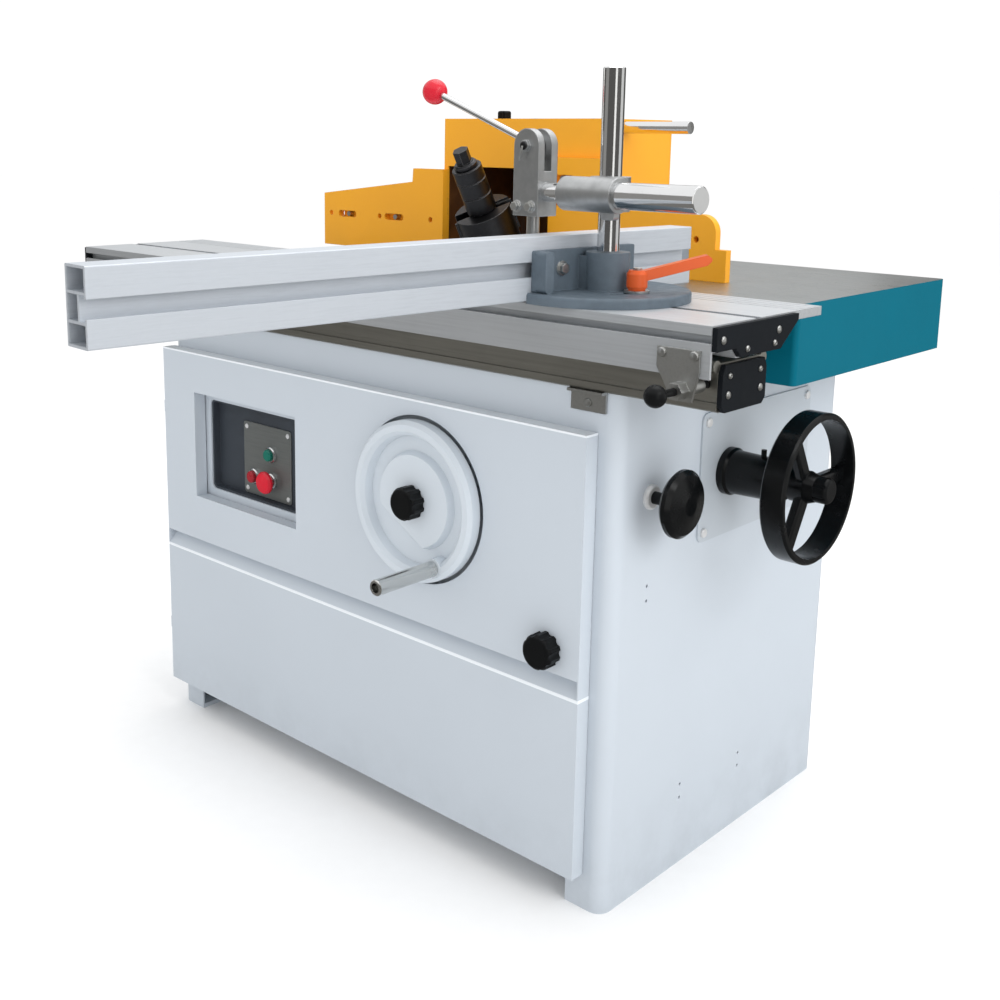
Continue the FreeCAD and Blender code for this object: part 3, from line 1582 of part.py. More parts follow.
def orange_lever():
    low = base_top + stud_washer_thick
    inside = stud_radius + slip
    r = lever_hub
    h = lever_hub_height
    e = lever_hub_edge
    slim = r - lever_hub_bevel
    hub = turned([(inside, 0), (slim, 0), (r, e), (r, h - e), (slim, h), (inside, h)], (lever_x, slot_y, low),
                 Z_AXIS)
    root = low + lever_root
    knee = slot_y + lever_length - lever_tip
    knee_z = root + lever_lift
    arm = prism([(slot_y + stud_radius, root), (knee, knee_z), (knee + lever_tip, knee_z + lever_tip),
                 (knee, knee_z + lever_thick), (slot_y + stud_radius, root + lever_thick)],
                "x", lever_x - lever_half, 2 * lever_half)
    arm = arm.makeFillet(lever_round, along(arm, X_AXIS)[1:3])
    body = join(hub, arm).cut(bore((lever_x, slot_y, low), Z_AXIS, inside, lever_hub_height + lever_lift))
    body.rotate(V(lever_x, slot_y, 0), V(0, 0, 1), lever_turn)
    return body


def pillar():
    top = slide_top + pillar_height
    bottom = base_bottom + pillar_seat
    body = rod((pivot_x, slot_y, bottom), Z_AXIS, pillar_radius, top - bottom)
    return body.makeChamfer(bar_bevel, [e for e in body.Edges if abs(e.BoundBox.ZMin - top) < 0.01])


nodes["crosscut_fence"] = turn_fence(crosscut_fence())
nodes["fence_base"] = turn_fence(group(base_plate(), base_boss(), base_web(), *fence_screws()))
nodes["lever_stud"] = lever_stud()
nodes["orange_lever"] = orange_lever()
nodes["pillar"] = turn_fence(pillar())


# Hold-down clamp on the pillar

clamp_row = slide_top + clamp_rise
bar_y = slot_y - clamp_offset
bar_end = pivot_x + clamp_bar_right
bar_shoulder = pivot_x - block_half
head_x = pivot_x - head_reach
head_half = head_width / 2
head_front = bar_y - head_thick / 2
head_bottom = clamp_row - head_below
head_top = clamp_row + head_above
head_pivot = head_top - head_half
socket_x = head_x + head_half - socket_depth
press_x = head_x - press_shift
pad_bottom = clamp_row - pad_drop
arm_angle = math.radians(180 - arm_rise)
arm_way = (math.cos(arm_angle), 0, math.sin(arm_angle))
cam_x = head_x + cam_throw * arm_way[0]
cam_z = head_pivot - cam_throw * arm_way[2]
press_top = cam_z - cam_radius - 2 * clear


def cross_block():
    r = block_radius
    upright = rod((pivot_x, slot_y, clamp_row - block_height / 2), Z_AXIS, block_upright, block_height)
    level = rod((bar_shoulder, bar_y, clamp_row), X_AXIS, r, 2 * block_half)
    web = box(pivot_x - block_web_half, pivot_x + block_web_half, bar_y, slot_y,
              clamp_row - r + block_web_drop, clamp_row + r - block_web_drop)
    ear_x = pivot_x + block_ear_left
    ear = round_box(ear_x, ear_x + block_ear_width, bar_y - block_ear_half, bar_y + block_ear_half,
                    clamp_row - block_ear_drop, clamp_row, Y_AXIS, block_ear_corner)
    body = join(upright, level, web, ear)
    body = body.cut(bore((pivot_x, slot_y, clamp_row - block_height), Z_AXIS, pillar_radius + slip,
                         2 * block_height))
    body = body.cut(bore((bar_shoulder, bar_y, clamp_row), X_AXIS, clamp_bar + slip, 2 * block_half))
    bolt = dome_bolt((pivot_x, slot_y + block_upright, clamp_row), Y_AXIS, block_bolt, block_bolt_height,
                     screw_edge,
                     block_bolt_shank, block_bolt_height)
    return join(body, bolt)


def clamp_bar_shape():
    bar = rod((bar_shoulder, bar_y, clamp_row), X_AXIS, clamp_bar, bar_end - bar_shoulder)
    bar = bar.makeChamfer(bar_bevel, [e for e in bar.Edges if abs(e.BoundBox.XMin - e.BoundBox.XMax) < 0.01])
    spigot = rod((socket_x, bar_y, clamp_row), X_AXIS, clamp_spigot, bar_shoulder - socket_x + over)
    return join(bar, spigot)


def clamp_head():
    slab = box(head_x - head_half, head_x + head_half, head_front, head_front + head_thick, head_bottom,
               head_pivot)
    crown = rod((head_x, head_front, head_pivot), Y_AXIS, head_half, head_thick)
    gap = box(head_x - head_half - over, head_x + head_half + over, bar_y - head_gap / 2,
              bar_y + head_gap / 2,
              head_pivot - head_gap_drop, head_top + over)
    socket = rod((socket_x, bar_y, clamp_row), X_AXIS, clamp_spigot, head_width)
    press = bore((press_x, bar_y, head_bottom), Z_AXIS, press_radius + slip, head_top - head_bottom)
    pin_hole = bore((head_x, head_front, head_pivot), Y_AXIS, cam_pin, head_thick)
    return join(slab, crown).cut(gap).cut(socket).cut(press).cut(pin_hole)


def clamp_bolts():
    back = head_front + head_thick
    pin = rod((head_x, head_front, head_pivot), Y_AXIS, cam_pin, head_thick)
    front_nut = hex_bar((head_x, head_front, head_pivot), FRONT, head_pin_flats, head_pin_nut)
    back_nut = hex_bar((head_x, back, head_pivot), Y_AXIS, head_pin_flats, head_pin_nut)
    parts = [join(pin, front_nut, back_nut)]
    z = head_bottom + head_bolt_rise
    for dx in head_bolts:
        washer = rod((head_x + dx, head_front, z), FRONT, head_washer, head_washer_thick)
        head = hex_bar((head_x + dx, head_front - head_washer_thick, z), FRONT, head_bolt_flats,
                       head_bolt_height)
        parts.append(join(washer, head))
    return parts


def clamp_lever():
    half = head_gap / 2 - free
    cam = rod((cam_x, bar_y - half, cam_z), Y_AXIS, cam_radius, 2 * half)
    arm = rod((head_x, bar_y, head_pivot), arm_way, arm_radius, arm_length - ball_seat)
    pin_hole = bore((head_x, bar_y - half, head_pivot), Y_AXIS, cam_pin + slip, 2 * half)
    return join(cam, arm).cut(pin_hole)


def lever_ball():
    middle = V(head_x, bar_y, head_pivot) + V(*arm_way) * arm_length
    ball = Part.makeSphere(ball_radius, middle, V(*arm_way))
    return ball.cut(rod((head_x, bar_y, head_pivot), arm_way, arm_radius + slip, arm_length - ball_seat))


def clamp_plunger():
    stem = rod((press_x, bar_y, pad_bottom), Z_AXIS, press_radius, press_top - pad_bottom)
    pad = turned([(0, 0), (pad_radius, 0), (pad_radius, pad_edge), (press_radius, pad_height),
                  (0, pad_height)],
                 (press_x, bar_y, pad_bottom), Z_AXIS)
    return join(stem, pad)


nodes["cross_block"] = turn_fence(cross_block())
nodes["clamp_bar"] = turn_fence(clamp_bar_shape())
nodes["clamp_head"] = turn_fence(group(clamp_head(), *clamp_bolts()))
nodes["clamp_lever"] = turn_fence(clamp_lever())
nodes["lever_ball"] = turn_fence(lever_ball())
nodes["clamp_plunger"] = turn_fence(clamp_plunger())


# Spindle unit, drawn upright and then tilted about the pivot at the table's top

def tilt_unit(shape):
    shape.rotate(V(spindle_x, spindle_y, table_top), V(1, 0, 0), spindle_tilt)
    return shape


def down(distance):
    """Height of a point this far below the table's top, with the unit upright."""
    return table_top - distance


rod_y = spindle_y - rod_offset
rod_xs = (spindle_x - rod_half, spindle_x + rod_half)
motor_y = spindle_y - motor_offset
pulley_bottom = pulley_top + pulley_height
plate_level = pulley_bottom + motor_gap         # top of the motor's plate, below the table
motor_level = plate_level + motor_plate
collar_top = cutter_bottom + cutter_height + sum(upper_collars)
frame_front_y = rod_y - frame_front
web_front = rod_y - rod_radius - carriage_front
race_outer = quill_radius - quill_wall


def trunnion(side):
    """A fixed bracket under the table with an arc slot that the frame's pins follow."""
    inside = spindle_x + side * (frame_half + frame_plate + frame_gap)
    start = min(inside, inside + side * trunnion_plate)
    sector = arc_band(trunnion_radius - trunnion_inner, trunnion_radius + trunnion_outer,
                      trunnion_first, trunnion_last, trunnion_plate)
    arc = arc_slot(trunnion_radius, trunnion_pin + slip, -pin_spread, pin_spread + spindle_tilt,
                   trunnion_plate)
    for shape in (sector, arc):
        shape.rotate(V(0, 0, 0), V(0, 1, 0), 90)
        shape.translate(V(start, spindle_y, table_top))
    under = table_top - table_plate
    foot = min(start, start + side * leg_foot)
    parts = [sector]
    for front, back, depth in (front_leg, back_leg):
        parts.append(box(start, start + trunnion_plate, spindle_y + front, spindle_y + back, down(depth),
                         under))
        parts.append(box(foot, foot + trunnion_plate + leg_foot, spindle_y + front, spindle_y + back,
                         under - leg_foot_thick, under))
    if side > 0:
        near = tilt_box_half - tilt_arm_inset
        arm = [(spindle_y + tilt_arm_top[0], down(tilt_arm_top[1])),
               (spindle_y + tilt_arm_low[0], down(tilt_arm_low[1])),
               (tilt_y + near, tilt_z - near), (tilt_y - near, tilt_z - near), (tilt_y - near, tilt_z + near)]
        parts.append(prism(arm, "x", start, trunnion_plate))
    return join(*parts).cut(arc)


def frame_side_plate(side):
    """One cheek of the tilting frame, with the two pins that run in its trunnion bracket."""
    inside = spindle_x + side * frame_half
    outside = inside + side * frame_plate
    start = min(inside, outside)
    back = spindle_y + frame_back
    shoulder = frame_top + frame_shoulder
    outline = [(frame_front_y, down(frame_top)), (back, down(shoulder)), (back, down(shoulder + frame_side)),
               (spindle_y - frame_front, down(frame_bottom)), (frame_front_y, down(frame_bottom))]
    parts = [prism(outline, "x", start, frame_plate)]
    pin_length = frame_plate + frame_gap + trunnion_plate
    for degrees in (-pin_spread, pin_spread):
        angle = math.radians(degrees)
        pin_y = spindle_y + trunnion_radius * math.sin(angle)
        parts.append(rod((inside, pin_y, down(trunnion_radius * math.cos(angle))), (side, 0, 0), trunnion_pin,
                         pin_length))
    return join(*parts)


def frame_bar(depth):
    """A cross bar between the cheeks that holds the guide rods and the lift screw."""
    low = down(depth)
    bar = box(spindle_x - frame_half, spindle_x + frame_half, rod_y - cross_bar_half, rod_y + cross_bar_half,
              low, low + cross_bar)
    for x in rod_xs:
        bar = bar.cut(bore((x, rod_y, low), Z_AXIS, rod_radius, cross_bar))
    return bar.cut(bore((spindle_x, rod_y, low), Z_AXIS, screw_radius + slip, cross_bar))


def guide_rods():
    return [rod((x, rod_y, down(frame_bottom)), Z_AXIS, rod_radius, frame_bottom - frame_top) for x in rod_xs]


def lift_screw():
    thread = rod((spindle_x, rod_y, down(frame_bottom)), Z_AXIS, screw_radius, frame_bottom - frame_top)
    return join(thread, rod((spindle_x, rod_y, down(frame_top)), Z_AXIS, screw_head, screw_head_height))


def carriage():
    low = down(carriage_top + carriage_height)
    half = rod_half + carriage_wall
    block = box(spindle_x - half, spindle_x + half, web_front, spindle_y, low, down(carriage_top))
    block = block.makeFillet(carriage_corner, along(block, Z_AXIS))
    clamp = rod((spindle_x, spindle_y, low), Z_AXIS, quill_radius + quill_clamp, carriage_height)
    plate_top_z = down(plate_level)
    plate_low = plate_top_z - motor_plate
    half = rod_half + motor_plate_margin
    web_back = web_front + motor_web_depth
    plate = round_box(spindle_x - half, spindle_x + half, motor_y - motor_radius - motor_plate_margin,
                      web_back,
                      plate_low, plate_top_z, Z_AXIS, motor_plate_corner)
    parts = [block, clamp, plate]
    for x in rod_xs:
        parts.append(box(x - motor_web / 2, x + motor_web / 2, web_front, web_back, plate_low, low + over))
    body = join(*parts)
    for x in rod_xs:
        body = body.cut(bore((x, rod_y, low), Z_AXIS, rod_radius + slip, carriage_height))
    body = body.cut(bore((spindle_x, rod_y, low), Z_AXIS, screw_radius + slip, carriage_height))
    body = body.cut(bore((spindle_x, spindle_y, low), Z_AXIS, quill_radius, carriage_height))
    return body.cut(bore((spindle_x, motor_y, plate_low), Z_AXIS, motor_plate_bore, motor_plate))


def quill():
    length = quill_bottom - quill_top
    lip = length - quill_lip_height
    profile = [(race_outer, 0), (quill_radius, 0), (quill_radius, length), (race_outer - quill_lip, length),
               (race_outer - quill_lip, lip), (race_outer, lip)]
    return turned(profile, (spindle_x, spindle_y, down(quill_bottom)), Z_AXIS)


def bearings():
    inner = spindle_radius + slip
    rings = []
    for z in (down(quill_bottom), down(quill_top + quill_lip_height) - bearing_height):
        ring = tube((spindle_x, spindle_y, z), Z_AXIS, race_outer, inner, bearing_height)
        gap = tube((spindle_x, spindle_y, z + bearing_height - bearing_groove), Z_AXIS,
                   race_outer - bearing_race,
                   inner + bearing_race, bearing_groove + over)
        rings.append(ring.cut(gap))
    return rings


def spindle_shaft():
    r = spindle_radius
    e = edge_bevel
    seat = spindle_drop + cutter_bottom - lower_collar
    flange = seat - spindle_flange_thick
    top = spindle_drop + collar_top
    wide = r + spindle_flange
    profile = [(0, 0), (r - e, 0), (r, e), (r, flange), (wide, flange), (wide, seat), (r, seat), (r, top),
               (0, top)]
    return turned(profile, (spindle_x, spindle_y, down(spindle_drop)), Z_AXIS)


def collar(low, height):
    r = collar_radius
    e = edge_bevel
    profile = [(spindle_radius, 0), (r - e, 0), (r, e), (r, height - e), (r - e, height),
               (spindle_radius, height)]
    return turned(profile, (spindle_x, spindle_y, table_top + low), Z_AXIS)


def spindle_collars():
    collars = [collar(cutter_bottom - lower_collar, lower_collar)]
    low = cutter_bottom + cutter_height
    for height in upper_collars:
        collars.append(collar(low, height))
        low += height
    return group(*collars)


def cutter_block():
    r = cutter_radius
    low = table_top + cutter_bottom
    body = tube((spindle_x, spindle_y, low), Z_AXIS, r, spindle_radius, cutter_height)
    knives = []
    for number in range(knife_count):
        pocket = box(-2 * r, -knife_root, -knife_seat, pocket_width - knife_seat, -over, cutter_height + over)
        knife = box(-r - knife_proud, -knife_root, -knife_seat, knife_thick - knife_seat,
                    knife_inset, cutter_height - knife_inset)
        for piece in (pocket, knife):
            piece.rotate(V(0, 0, 0), V(0, 0, 1), 360 / knife_count * number + cutter_turn)
            piece.translate(V(spindle_x, spindle_y, low))
        body = body.cut(pocket)
        knives.append(knife)
    return group(body, *knives)


def spindle_bolt():
    base = table_top + collar_top
    r = bolt_washer
    h = bolt_washer_height
    e = bolt_washer_edge
    washer = turned([(0, 0), (r, 0), (r, h - e), (r - e, h), (0, h)], (spindle_x, spindle_y, base), Z_AXIS)
    return join(washer, hex_bar((spindle_x, spindle_y, base + h), Z_AXIS, bolt_flats,
                                spindle_rise - collar_top - h))


def grooved_pulley(y, radius, inside):
    profile = [(inside, 0), (radius, 0), (radius, pulley_rim)]
    pitch = (pulley_height - 2 * pulley_rim) / pulley_grooves
    for groove in range(pulley_grooves):
        z = pulley_rim + pitch * groove
        profile += [(radius - belt_thick, z + pitch / 2), (radius, z + pitch)]
    profile += [(radius, pulley_height), (inside, pulley_height)]
    return turned(profile, (spindle_x, y, down(pulley_bottom)), Z_AXIS)


def belt_loop(extra, low, height):
    """The outline round both pulleys, this far outside them, as a solid."""
    big = motor_pulley_radius + extra
    small = pulley_radius + extra
    lean = math.asin((big - small) / motor_offset)
    cosine = math.cos(lean)
    sine = math.sin(lean)
    sides = [(spindle_x - small * cosine, spindle_y + small * sine),
             (spindle_x - big * cosine, motor_y + big * sine),
             (spindle_x + big * cosine, motor_y + big * sine),
             (spindle_x + small * cosine, spindle_y + small * sine)]
    near = rod((spindle_x, spindle_y, low), Z_AXIS, small, height)
    far = rod((spindle_x, motor_y, low), Z_AXIS, big, height)
    return join(near, far, prism(sides, "z", low, height))


def belt():
    low = down(pulley_bottom) + pulley_rim
    height = pulley_height - 2 * pulley_rim
    return belt_loop(belt_thick, low, height).cut(belt_loop(clear, low - over, height + 2 * over))


def motor():
    r = motor_radius
    e = motor_edge
    low = down(motor_level + motor_length)
    parts = [turned([(0, 0), (r - e, 0), (r, e), (r, motor_length - e), (r - e, motor_length),
                     (0, motor_length)],
                    (spindle_x, motor_y, low), Z_AXIS)]
    for number in range(motor_fins):
        fin = box(r - 2 * fin_half, r + fin_height, -fin_half, fin_half, fin_low, motor_length - fin_top)
        fin.rotate(V(0, 0, 0), V(0, 0, 1), 360 / motor_fins * number)
        fin.translate(V(spindle_x, motor_y, low))
        parts.append(fin)
    box_low = low + terminal_low
    parts.append(round_box(spindle_x - r - terminal_reach, spindle_x - r + terminal_reach,
                           motor_y - terminal_half,
                           motor_y + terminal_half, box_low, box_low + terminal_height, X_AXIS,
                           terminal_corner))
    shaft = rod((spindle_x, motor_y, down(motor_level) - motor_shaft_depth - over), Z_AXIS,
                motor_shaft + slip,
                motor_shaft_depth + 2 * over)
    return join(*parts).cut(shaft)


def motor_pulley():
    low = down(motor_level) - motor_shaft_depth
    shaft = rod((spindle_x, motor_y, low), Z_AXIS, motor_shaft, down(pulley_top) - low)
    return join(shaft, grooved_pulley(motor_y, motor_pulley_radius, motor_shaft - over))


frame_pieces = [frame_side_plate(-1), frame_side_plate(1), frame_bar(frame_top + cross_bar),
                frame_bar(frame_bottom)]
nodes["trunnion_brackets"] = group(trunnion(-1), trunnion(1))
nodes["tilt_frame"] = tilt_unit(group(*frame_pieces, *guide_rods()))
nodes["lift_screw"] = tilt_unit(lift_screw())
nodes["carriage"] = tilt_unit(carriage())
nodes["quill_housing"] = tilt_unit(group(quill(), *bearings()))
nodes["motor"] = tilt_unit(motor())
nodes["belt"] = tilt_unit(belt())
nodes["spindle_shaft"] = tilt_unit(spindle_shaft())
nodes["spindle_collars"] = tilt_unit(spindle_collars())
nodes["cutter_block"] = tilt_unit(cutter_block())
nodes["spindle_bolt"] = tilt_unit(spindle_bolt())
nodes["spindle_pulley"] = tilt_unit(grooved_pulley(spindle_y, pulley_radius, spindle_radius))
nodes["motor_pulley"] = tilt_unit(motor_pulley())


# Hood with its dust spout, wings, knob and guard rod

hood_back = hood_front + hood_depth
hood_top = table_top + hood_height
fence_front_y = hood_front - fence_plate
hood_knob_x = spindle_x - hood_knob_shift
hood_knob_y = hood_front + hood_knob_back
guard_y = hood_front + guard_rod_back
guard_z = hood_top - guard_rod_drop
hole_z = table_top + fence_hole_rise
left_bolts = [(left_fence_end + place, hole_z) for place in left_slot_places]
right_bolts = [(mouth_right + right_slot_from_mouth, table_top + rise) for rise in right_slot_rises]


def hood_shell():
    outer = box(hood_left, hood_right, hood_front, hood_back, table_top, hood_top)
    back_edges = [e for e in along(outer, Z_AXIS) if e.BoundBox.YMin > hood_back - over]
    outer = outer.makeFillet(hood_corner, back_edges)
    w = hood_wall
    inner = box(hood_left + w, hood_right - w, hood_front + w, hood_back - w, table_top - over, hood_top - w)
    inner_edges = [e for e in along(inner, Z_AXIS) if e.BoundBox.YMin > hood_back - w - over]
    inner = inner.makeFillet(hood_corner - w, inner_edges)
    mouth = box(mouth_left, mouth_right, hood_front - over, hood_front + w + over,
                table_top - over, table_top + mouth_height)
    middle = (hood_left + hood_right) / 2
    spout_start = (middle, hood_back - w, table_top + spout_rise)
    spout = rod(spout_start, Y_AXIS, spout_radius, spout_length + w)
    drain = bore(spout_start, Y_AXIS, spout_radius - spout_wall, spout_length + w)
    boss = rod((hood_right - guard_boss_length, guard_y, guard_z), X_AXIS, guard_rod_radius + guard_boss_wall,
               guard_boss_length).common(outer)
    return join(outer.cut(inner).cut(mouth), spout, boss).cut(drain)


def hood_wing(inside, outside):
    """An angle with a rib behind a fence plate."""
    low = min(inside, outside)
    high = max(inside, outside)
    upright = box(low, high, hood_front, hood_front + wing_thick, table_top, table_top + wing_height)
    foot = box(low, high, hood_front, hood_front + wing_foot, table_top, table_top + wing_thick)
    middle = (low + high) / 2
    rib = prism([(hood_front, table_top), (hood_front + wing_rib_depth, table_top),
                 (hood_front + wing_rib, table_top + wing_rib_height)], "x", middle - wing_rib / 2, wing_rib)
    return join(upright, foot, rib)


def hood():
    body = join(hood_shell(), hood_wing(hood_left, left_fence_end + wing_left_end),
                hood_wing(hood_right, right_fence_end - wing_right_end))
    for x, z in left_bolts + right_bolts:
        body = body.cut(bore((x, hood_front, z), Y_AXIS, fence_bolt, wing_thick))
    body = body.cut(bore((hood_knob_x, hood_knob_y, hood_top - hood_wall), Z_AXIS, hood_knob_stem + slip,
                         hood_wall))
    boss_start = hood_right - guard_boss_length
    relief = guard_rod_inside + guard_rod_travel - guard_boss_length
    body = body.cut(bore((boss_start - relief, guard_y, guard_z), X_AXIS, guard_rod_radius + 2 * clear,
                         relief))
    return body.cut(bore((boss_start, guard_y, guard_z), X_AXIS, guard_rod_radius + slip, guard_boss_length))


# Fence plates in front of the hood, each on two bolts in slots

def slotted(body, bolts):
    for x, z in bolts:
        ends = (x - fence_slot_half, x + fence_slot_half)
        body = body.cut(box(*ends, fence_front_y - over, hood_front + over, z - fence_slot_height,
                            z + fence_slot_height))
        for end in ends:
            body = body.cut(bore((end, fence_front_y, z), Y_AXIS, fence_slot_height, fence_plate))
    return body


def left_fence():
    low = table_top
    step = mouth_left - left_step_width
    outline = [(mouth_left, low), (mouth_left, low + left_step), (step, low + left_step),
               (step - left_step_lean, low + left_high), (left_fence_end, low + left_low),
               (left_fence_end, low)]
    body = slotted(prism(outline, "y", fence_front_y, fence_plate), left_bolts)
    for place in left_hole_places:
        body = body.cut(bore((left_fence_end + place, fence_front_y, hole_z), Y_AXIS, fence_hole,
                             fence_plate))
    return body


def right_fence():
    """An arch beside a tall step, with a face plate set into it."""
    low = table_top
    step = mouth_right + right_step_width
    leg = right_fence_end - arch_foot
    tall = box(mouth_right, step, fence_front_y, hood_front, low, low + right_step)
    arch = box(step, leg, fence_front_y, hood_front, low, low + arch_top)
    corner = [e for e in along(arch, Y_AXIS) if e.BoundBox.XMin > leg - over and e.BoundBox.ZMin > low + over]
    arch = arch.makeFillet(arch_round, corner)
    foot = box(leg, right_fence_end, fence_front_y, hood_front, low, low + arch_foot_height)
    face_left = step + arch_post
    face_right = leg - arch_leg
    window = box(face_left, face_right, fence_front_y - over, hood_front + over, low - over,
                 low + face_height)
    body = slotted(join(tall, arch, foot).cut(window), right_bolts)
    body = body.cut(bore((leg - arch_hole_inset, fence_front_y, hole_z), Y_AXIS, fence_hole, fence_plate))
    face_front = fence_front_y + face_recess
    face = box(face_left, face_right, face_front, face_front + face_thick, low, low + face_height)
    return group(body, face)


def fence_bolts():
    start = fence_front_y + fence_bolt_sink
    places = left_bolts + right_bolts
    return group(*[rod((x, start, z), Y_AXIS, fence_bolt, fence_bolt_length) for x, z in places])


nodes["hood"] = hood()
nodes["left_fence"] = left_fence()
nodes["right_fence"] = right_fence()
nodes["fence_bolts"] = fence_bolts()
nodes["hood_knob"] = fluted_knob((hood_knob_x, hood_knob_y, hood_top + clear), Z_AXIS,
                                 (hood_knob_radius, hood_knob_depth, hood_knob_crown),
                                 (hood_knob_flutes, hood_knob_flute, hood_knob_bite),
                                 (hood_knob_stem, hood_knob_stem_length))
nodes["guard_rod"] = rod((hood_right - guard_rod_inside, guard_y, guard_z), X_AXIS, guard_rod_radius,
                         guard_rod_inside + guard_rod_reach)


# One file for each node

os.makedirs("parts", exist_ok=True)
for name, shape in nodes.items():
    shape.exportStep("parts/" + name + ".step")
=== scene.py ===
import json
import math
import bmesh
import bpy
from mathutils import Matrix, Vector


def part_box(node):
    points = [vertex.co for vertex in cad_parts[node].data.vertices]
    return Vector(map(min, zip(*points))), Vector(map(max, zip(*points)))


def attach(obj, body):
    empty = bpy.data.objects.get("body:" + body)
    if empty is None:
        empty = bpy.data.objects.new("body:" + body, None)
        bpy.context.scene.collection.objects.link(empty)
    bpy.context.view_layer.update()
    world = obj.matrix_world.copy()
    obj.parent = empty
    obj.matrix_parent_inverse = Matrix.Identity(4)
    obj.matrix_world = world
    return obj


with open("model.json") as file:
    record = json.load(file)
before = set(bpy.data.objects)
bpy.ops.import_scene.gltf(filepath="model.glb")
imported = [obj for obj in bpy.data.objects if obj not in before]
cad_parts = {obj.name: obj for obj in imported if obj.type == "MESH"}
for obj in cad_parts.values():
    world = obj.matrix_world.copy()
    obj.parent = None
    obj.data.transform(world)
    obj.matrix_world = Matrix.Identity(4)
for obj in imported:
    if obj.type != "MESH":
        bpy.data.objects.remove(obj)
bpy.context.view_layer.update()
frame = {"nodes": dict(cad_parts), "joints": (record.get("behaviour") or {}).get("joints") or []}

# Finishes, small details, studio and camera for the spindle moulder. Metres, +Z up, +Y to the back.

nodes = frame["nodes"]
straight_up = Vector((0, 0, 1))

# Camera, fitted to the straight edges of the machine
camera_place = (1.455, -1.653, 1.098)
camera_azimuth = 43.47      # degrees from the front towards the operator's right
camera_down = 11.06
camera_roll = 0.67
image_size = 1000.0
image_middle = 0.5
focal_pixels = 1255.8
principal_pixel = (442.9, 381.8)
sensor = 36.0

# Colours, linear
WHITE = (0.535, 0.585, 0.640, 1)
# Side plate: a greyer paint that is partly painted shade, darker for the shadow of the wheel and table
# above it
PLATE_GREY_AND_SHADE = (0.47, 0.515, 0.56, 1)
WHEEL_WHITE = (0.60, 0.655, 0.71, 1)
# Painted highlight: a pale colour laid on the door's top edge and groove lip
PAINTED_HIGHLIGHT = (0.80, 0.84, 0.88, 1)
TEAL = (0.0008, 0.125, 0.182, 1)
DEEP_TEAL = (0.0004, 0.100, 0.148, 1)
PALE_TEAL = (0.03, 0.24, 0.30, 1)
YELLOW = (0.93, 0.420, 0.021, 1)
DEEP_YELLOW = (0.86, 0.365, 0.014, 1)
OCHRE = (0.30, 0.16, 0.05, 1)
BROWN = (0.085, 0.030, 0.008, 1)
CHIPS = (0.160, 0.062, 0.016, 1)
STEEL = (0.50, 0.50, 0.49, 1)
BRIGHT = (0.78, 0.785, 0.79, 1)
HANDLE = (0.68, 0.68, 0.66, 1)
ALUMINIUM = (0.66, 0.685, 0.71, 1)
FENCE_ALUMINIUM = (0.62, 0.66, 0.71, 1)
BEAM_METAL = (0.46, 0.45, 0.41, 1)
FACE_PLATE = (0.56, 0.63, 0.71, 1)
CAST = (0.50, 0.51, 0.515, 1)
GROUND = (0.46, 0.475, 0.475, 1)
GROUND_DARK = (0.34, 0.345, 0.34, 1)
GROUND_STAIN = (0.30, 0.285, 0.26, 1)
IRON = (0.075, 0.085, 0.092, 1)
ZINC = (0.58, 0.585, 0.57, 1)
PANEL = (0.27, 0.285, 0.28, 1)
SLATE = (0.114, 0.148, 0.181, 1)
ORANGE = (0.70, 0.105, 0.018, 1)
RED = (0.62, 0.012, 0.030, 1)
DEEP_RED = (0.33, 0.010, 0.020, 1)
GREEN = (0.002, 0.135, 0.098, 1)
BLACK = (0.005, 0.0055, 0.006, 1)
LACQUER = (0.0035, 0.004, 0.0045, 1)
CAP_BLACK = (0.007, 0.009, 0.012, 1)
RECESS = (0.038, 0.047, 0.060, 1)
GREY = (0.22, 0.235, 0.24, 1)
RUBBER = (0.014, 0.014, 0.014, 1)
BLACKENED = (0.045, 0.045, 0.048, 1)
FLOOR = (0.95, 0.95, 0.95, 1)
PALE_FLOOR = (0.97, 0.97, 0.97, 1)
SURROUND = (1.0, 1.0, 1.0, 1)

# Places taken from the solids' own sizes
hood_inner_low = (-0.172, 0.067, 0.870)
hood_inner_high = (0.183, 0.281, 1.127)
face_plate_low = (0.2151, 0.053, 0.870)
face_plate_high = (0.3709, 0.063, 0.9509)
table_skin = 0.004          # how deep the ground face's finish reaches
ring_front = -9.0           # anywhere in front of the control plate
ring_margin = 0.0002
cap_screw_height = 0.003    # the caps' own screws stand this proud of them
cap_screw_margin = 0.0003
door_highlight_heights = ((0.706, 1.0), (0.3255, 0.3305))   # heights of the painted highlights on the door's top edge and groove lip
base_screws = ((0.4215, -0.3284, 0.927), (0.4295, -0.2067, 0.927))
base_screw_reach = 0.0118
head_bolts = ((0.3254, -0.3220, 1.005), (0.3513, -0.3237, 1.005))
head_bolt_reach = 0.0086

# Small fasteners: half outlines (radius, height) as shares of the head's radius and height
screw_outline = ((0.0, 0.40), (0.44, 0.40), (0.48, 0.94), (0.60, 1.0), (0.88, 0.66),
                 (1.0, 0.28), (1.0, 0.0))
screw_socket_rings = (1, 2)
screw_head = (0.0042, 0.0026)
pin_outline = ((0.0, 1.0), (0.55, 1.0), (0.85, 0.80), (1.0, 0.45), (1.0, 0.0))
pin_head = (0.0058, 0.0024)
pin_seat = 0.0245           # from the clamp lever's pivot to the face of its head
split_pin = (0.0016, 0.021)
split_pin_outline = ((0.0, 1.0), (0.7, 0.985), (1.0, 0.95), (1.0, 0.06), (0.7, 0.02), (0.0, 0.0))
split_pin_lean = 0.3        # sideways for each unit down
split_pin_rise = 0.8        # share of the pin's head that it stands off
slide_screw_places = ((0.070, 0.009), (0.136, 0.009))   # back from the cap's front, up from its foot
beam_screw_places = ((0.016, 0.046), (0.089, 0.046))
turning_steps = 24
half_flat = math.pi / 6     # half the angle that one flat of a socket takes up
sharp_angle = math.radians(35)

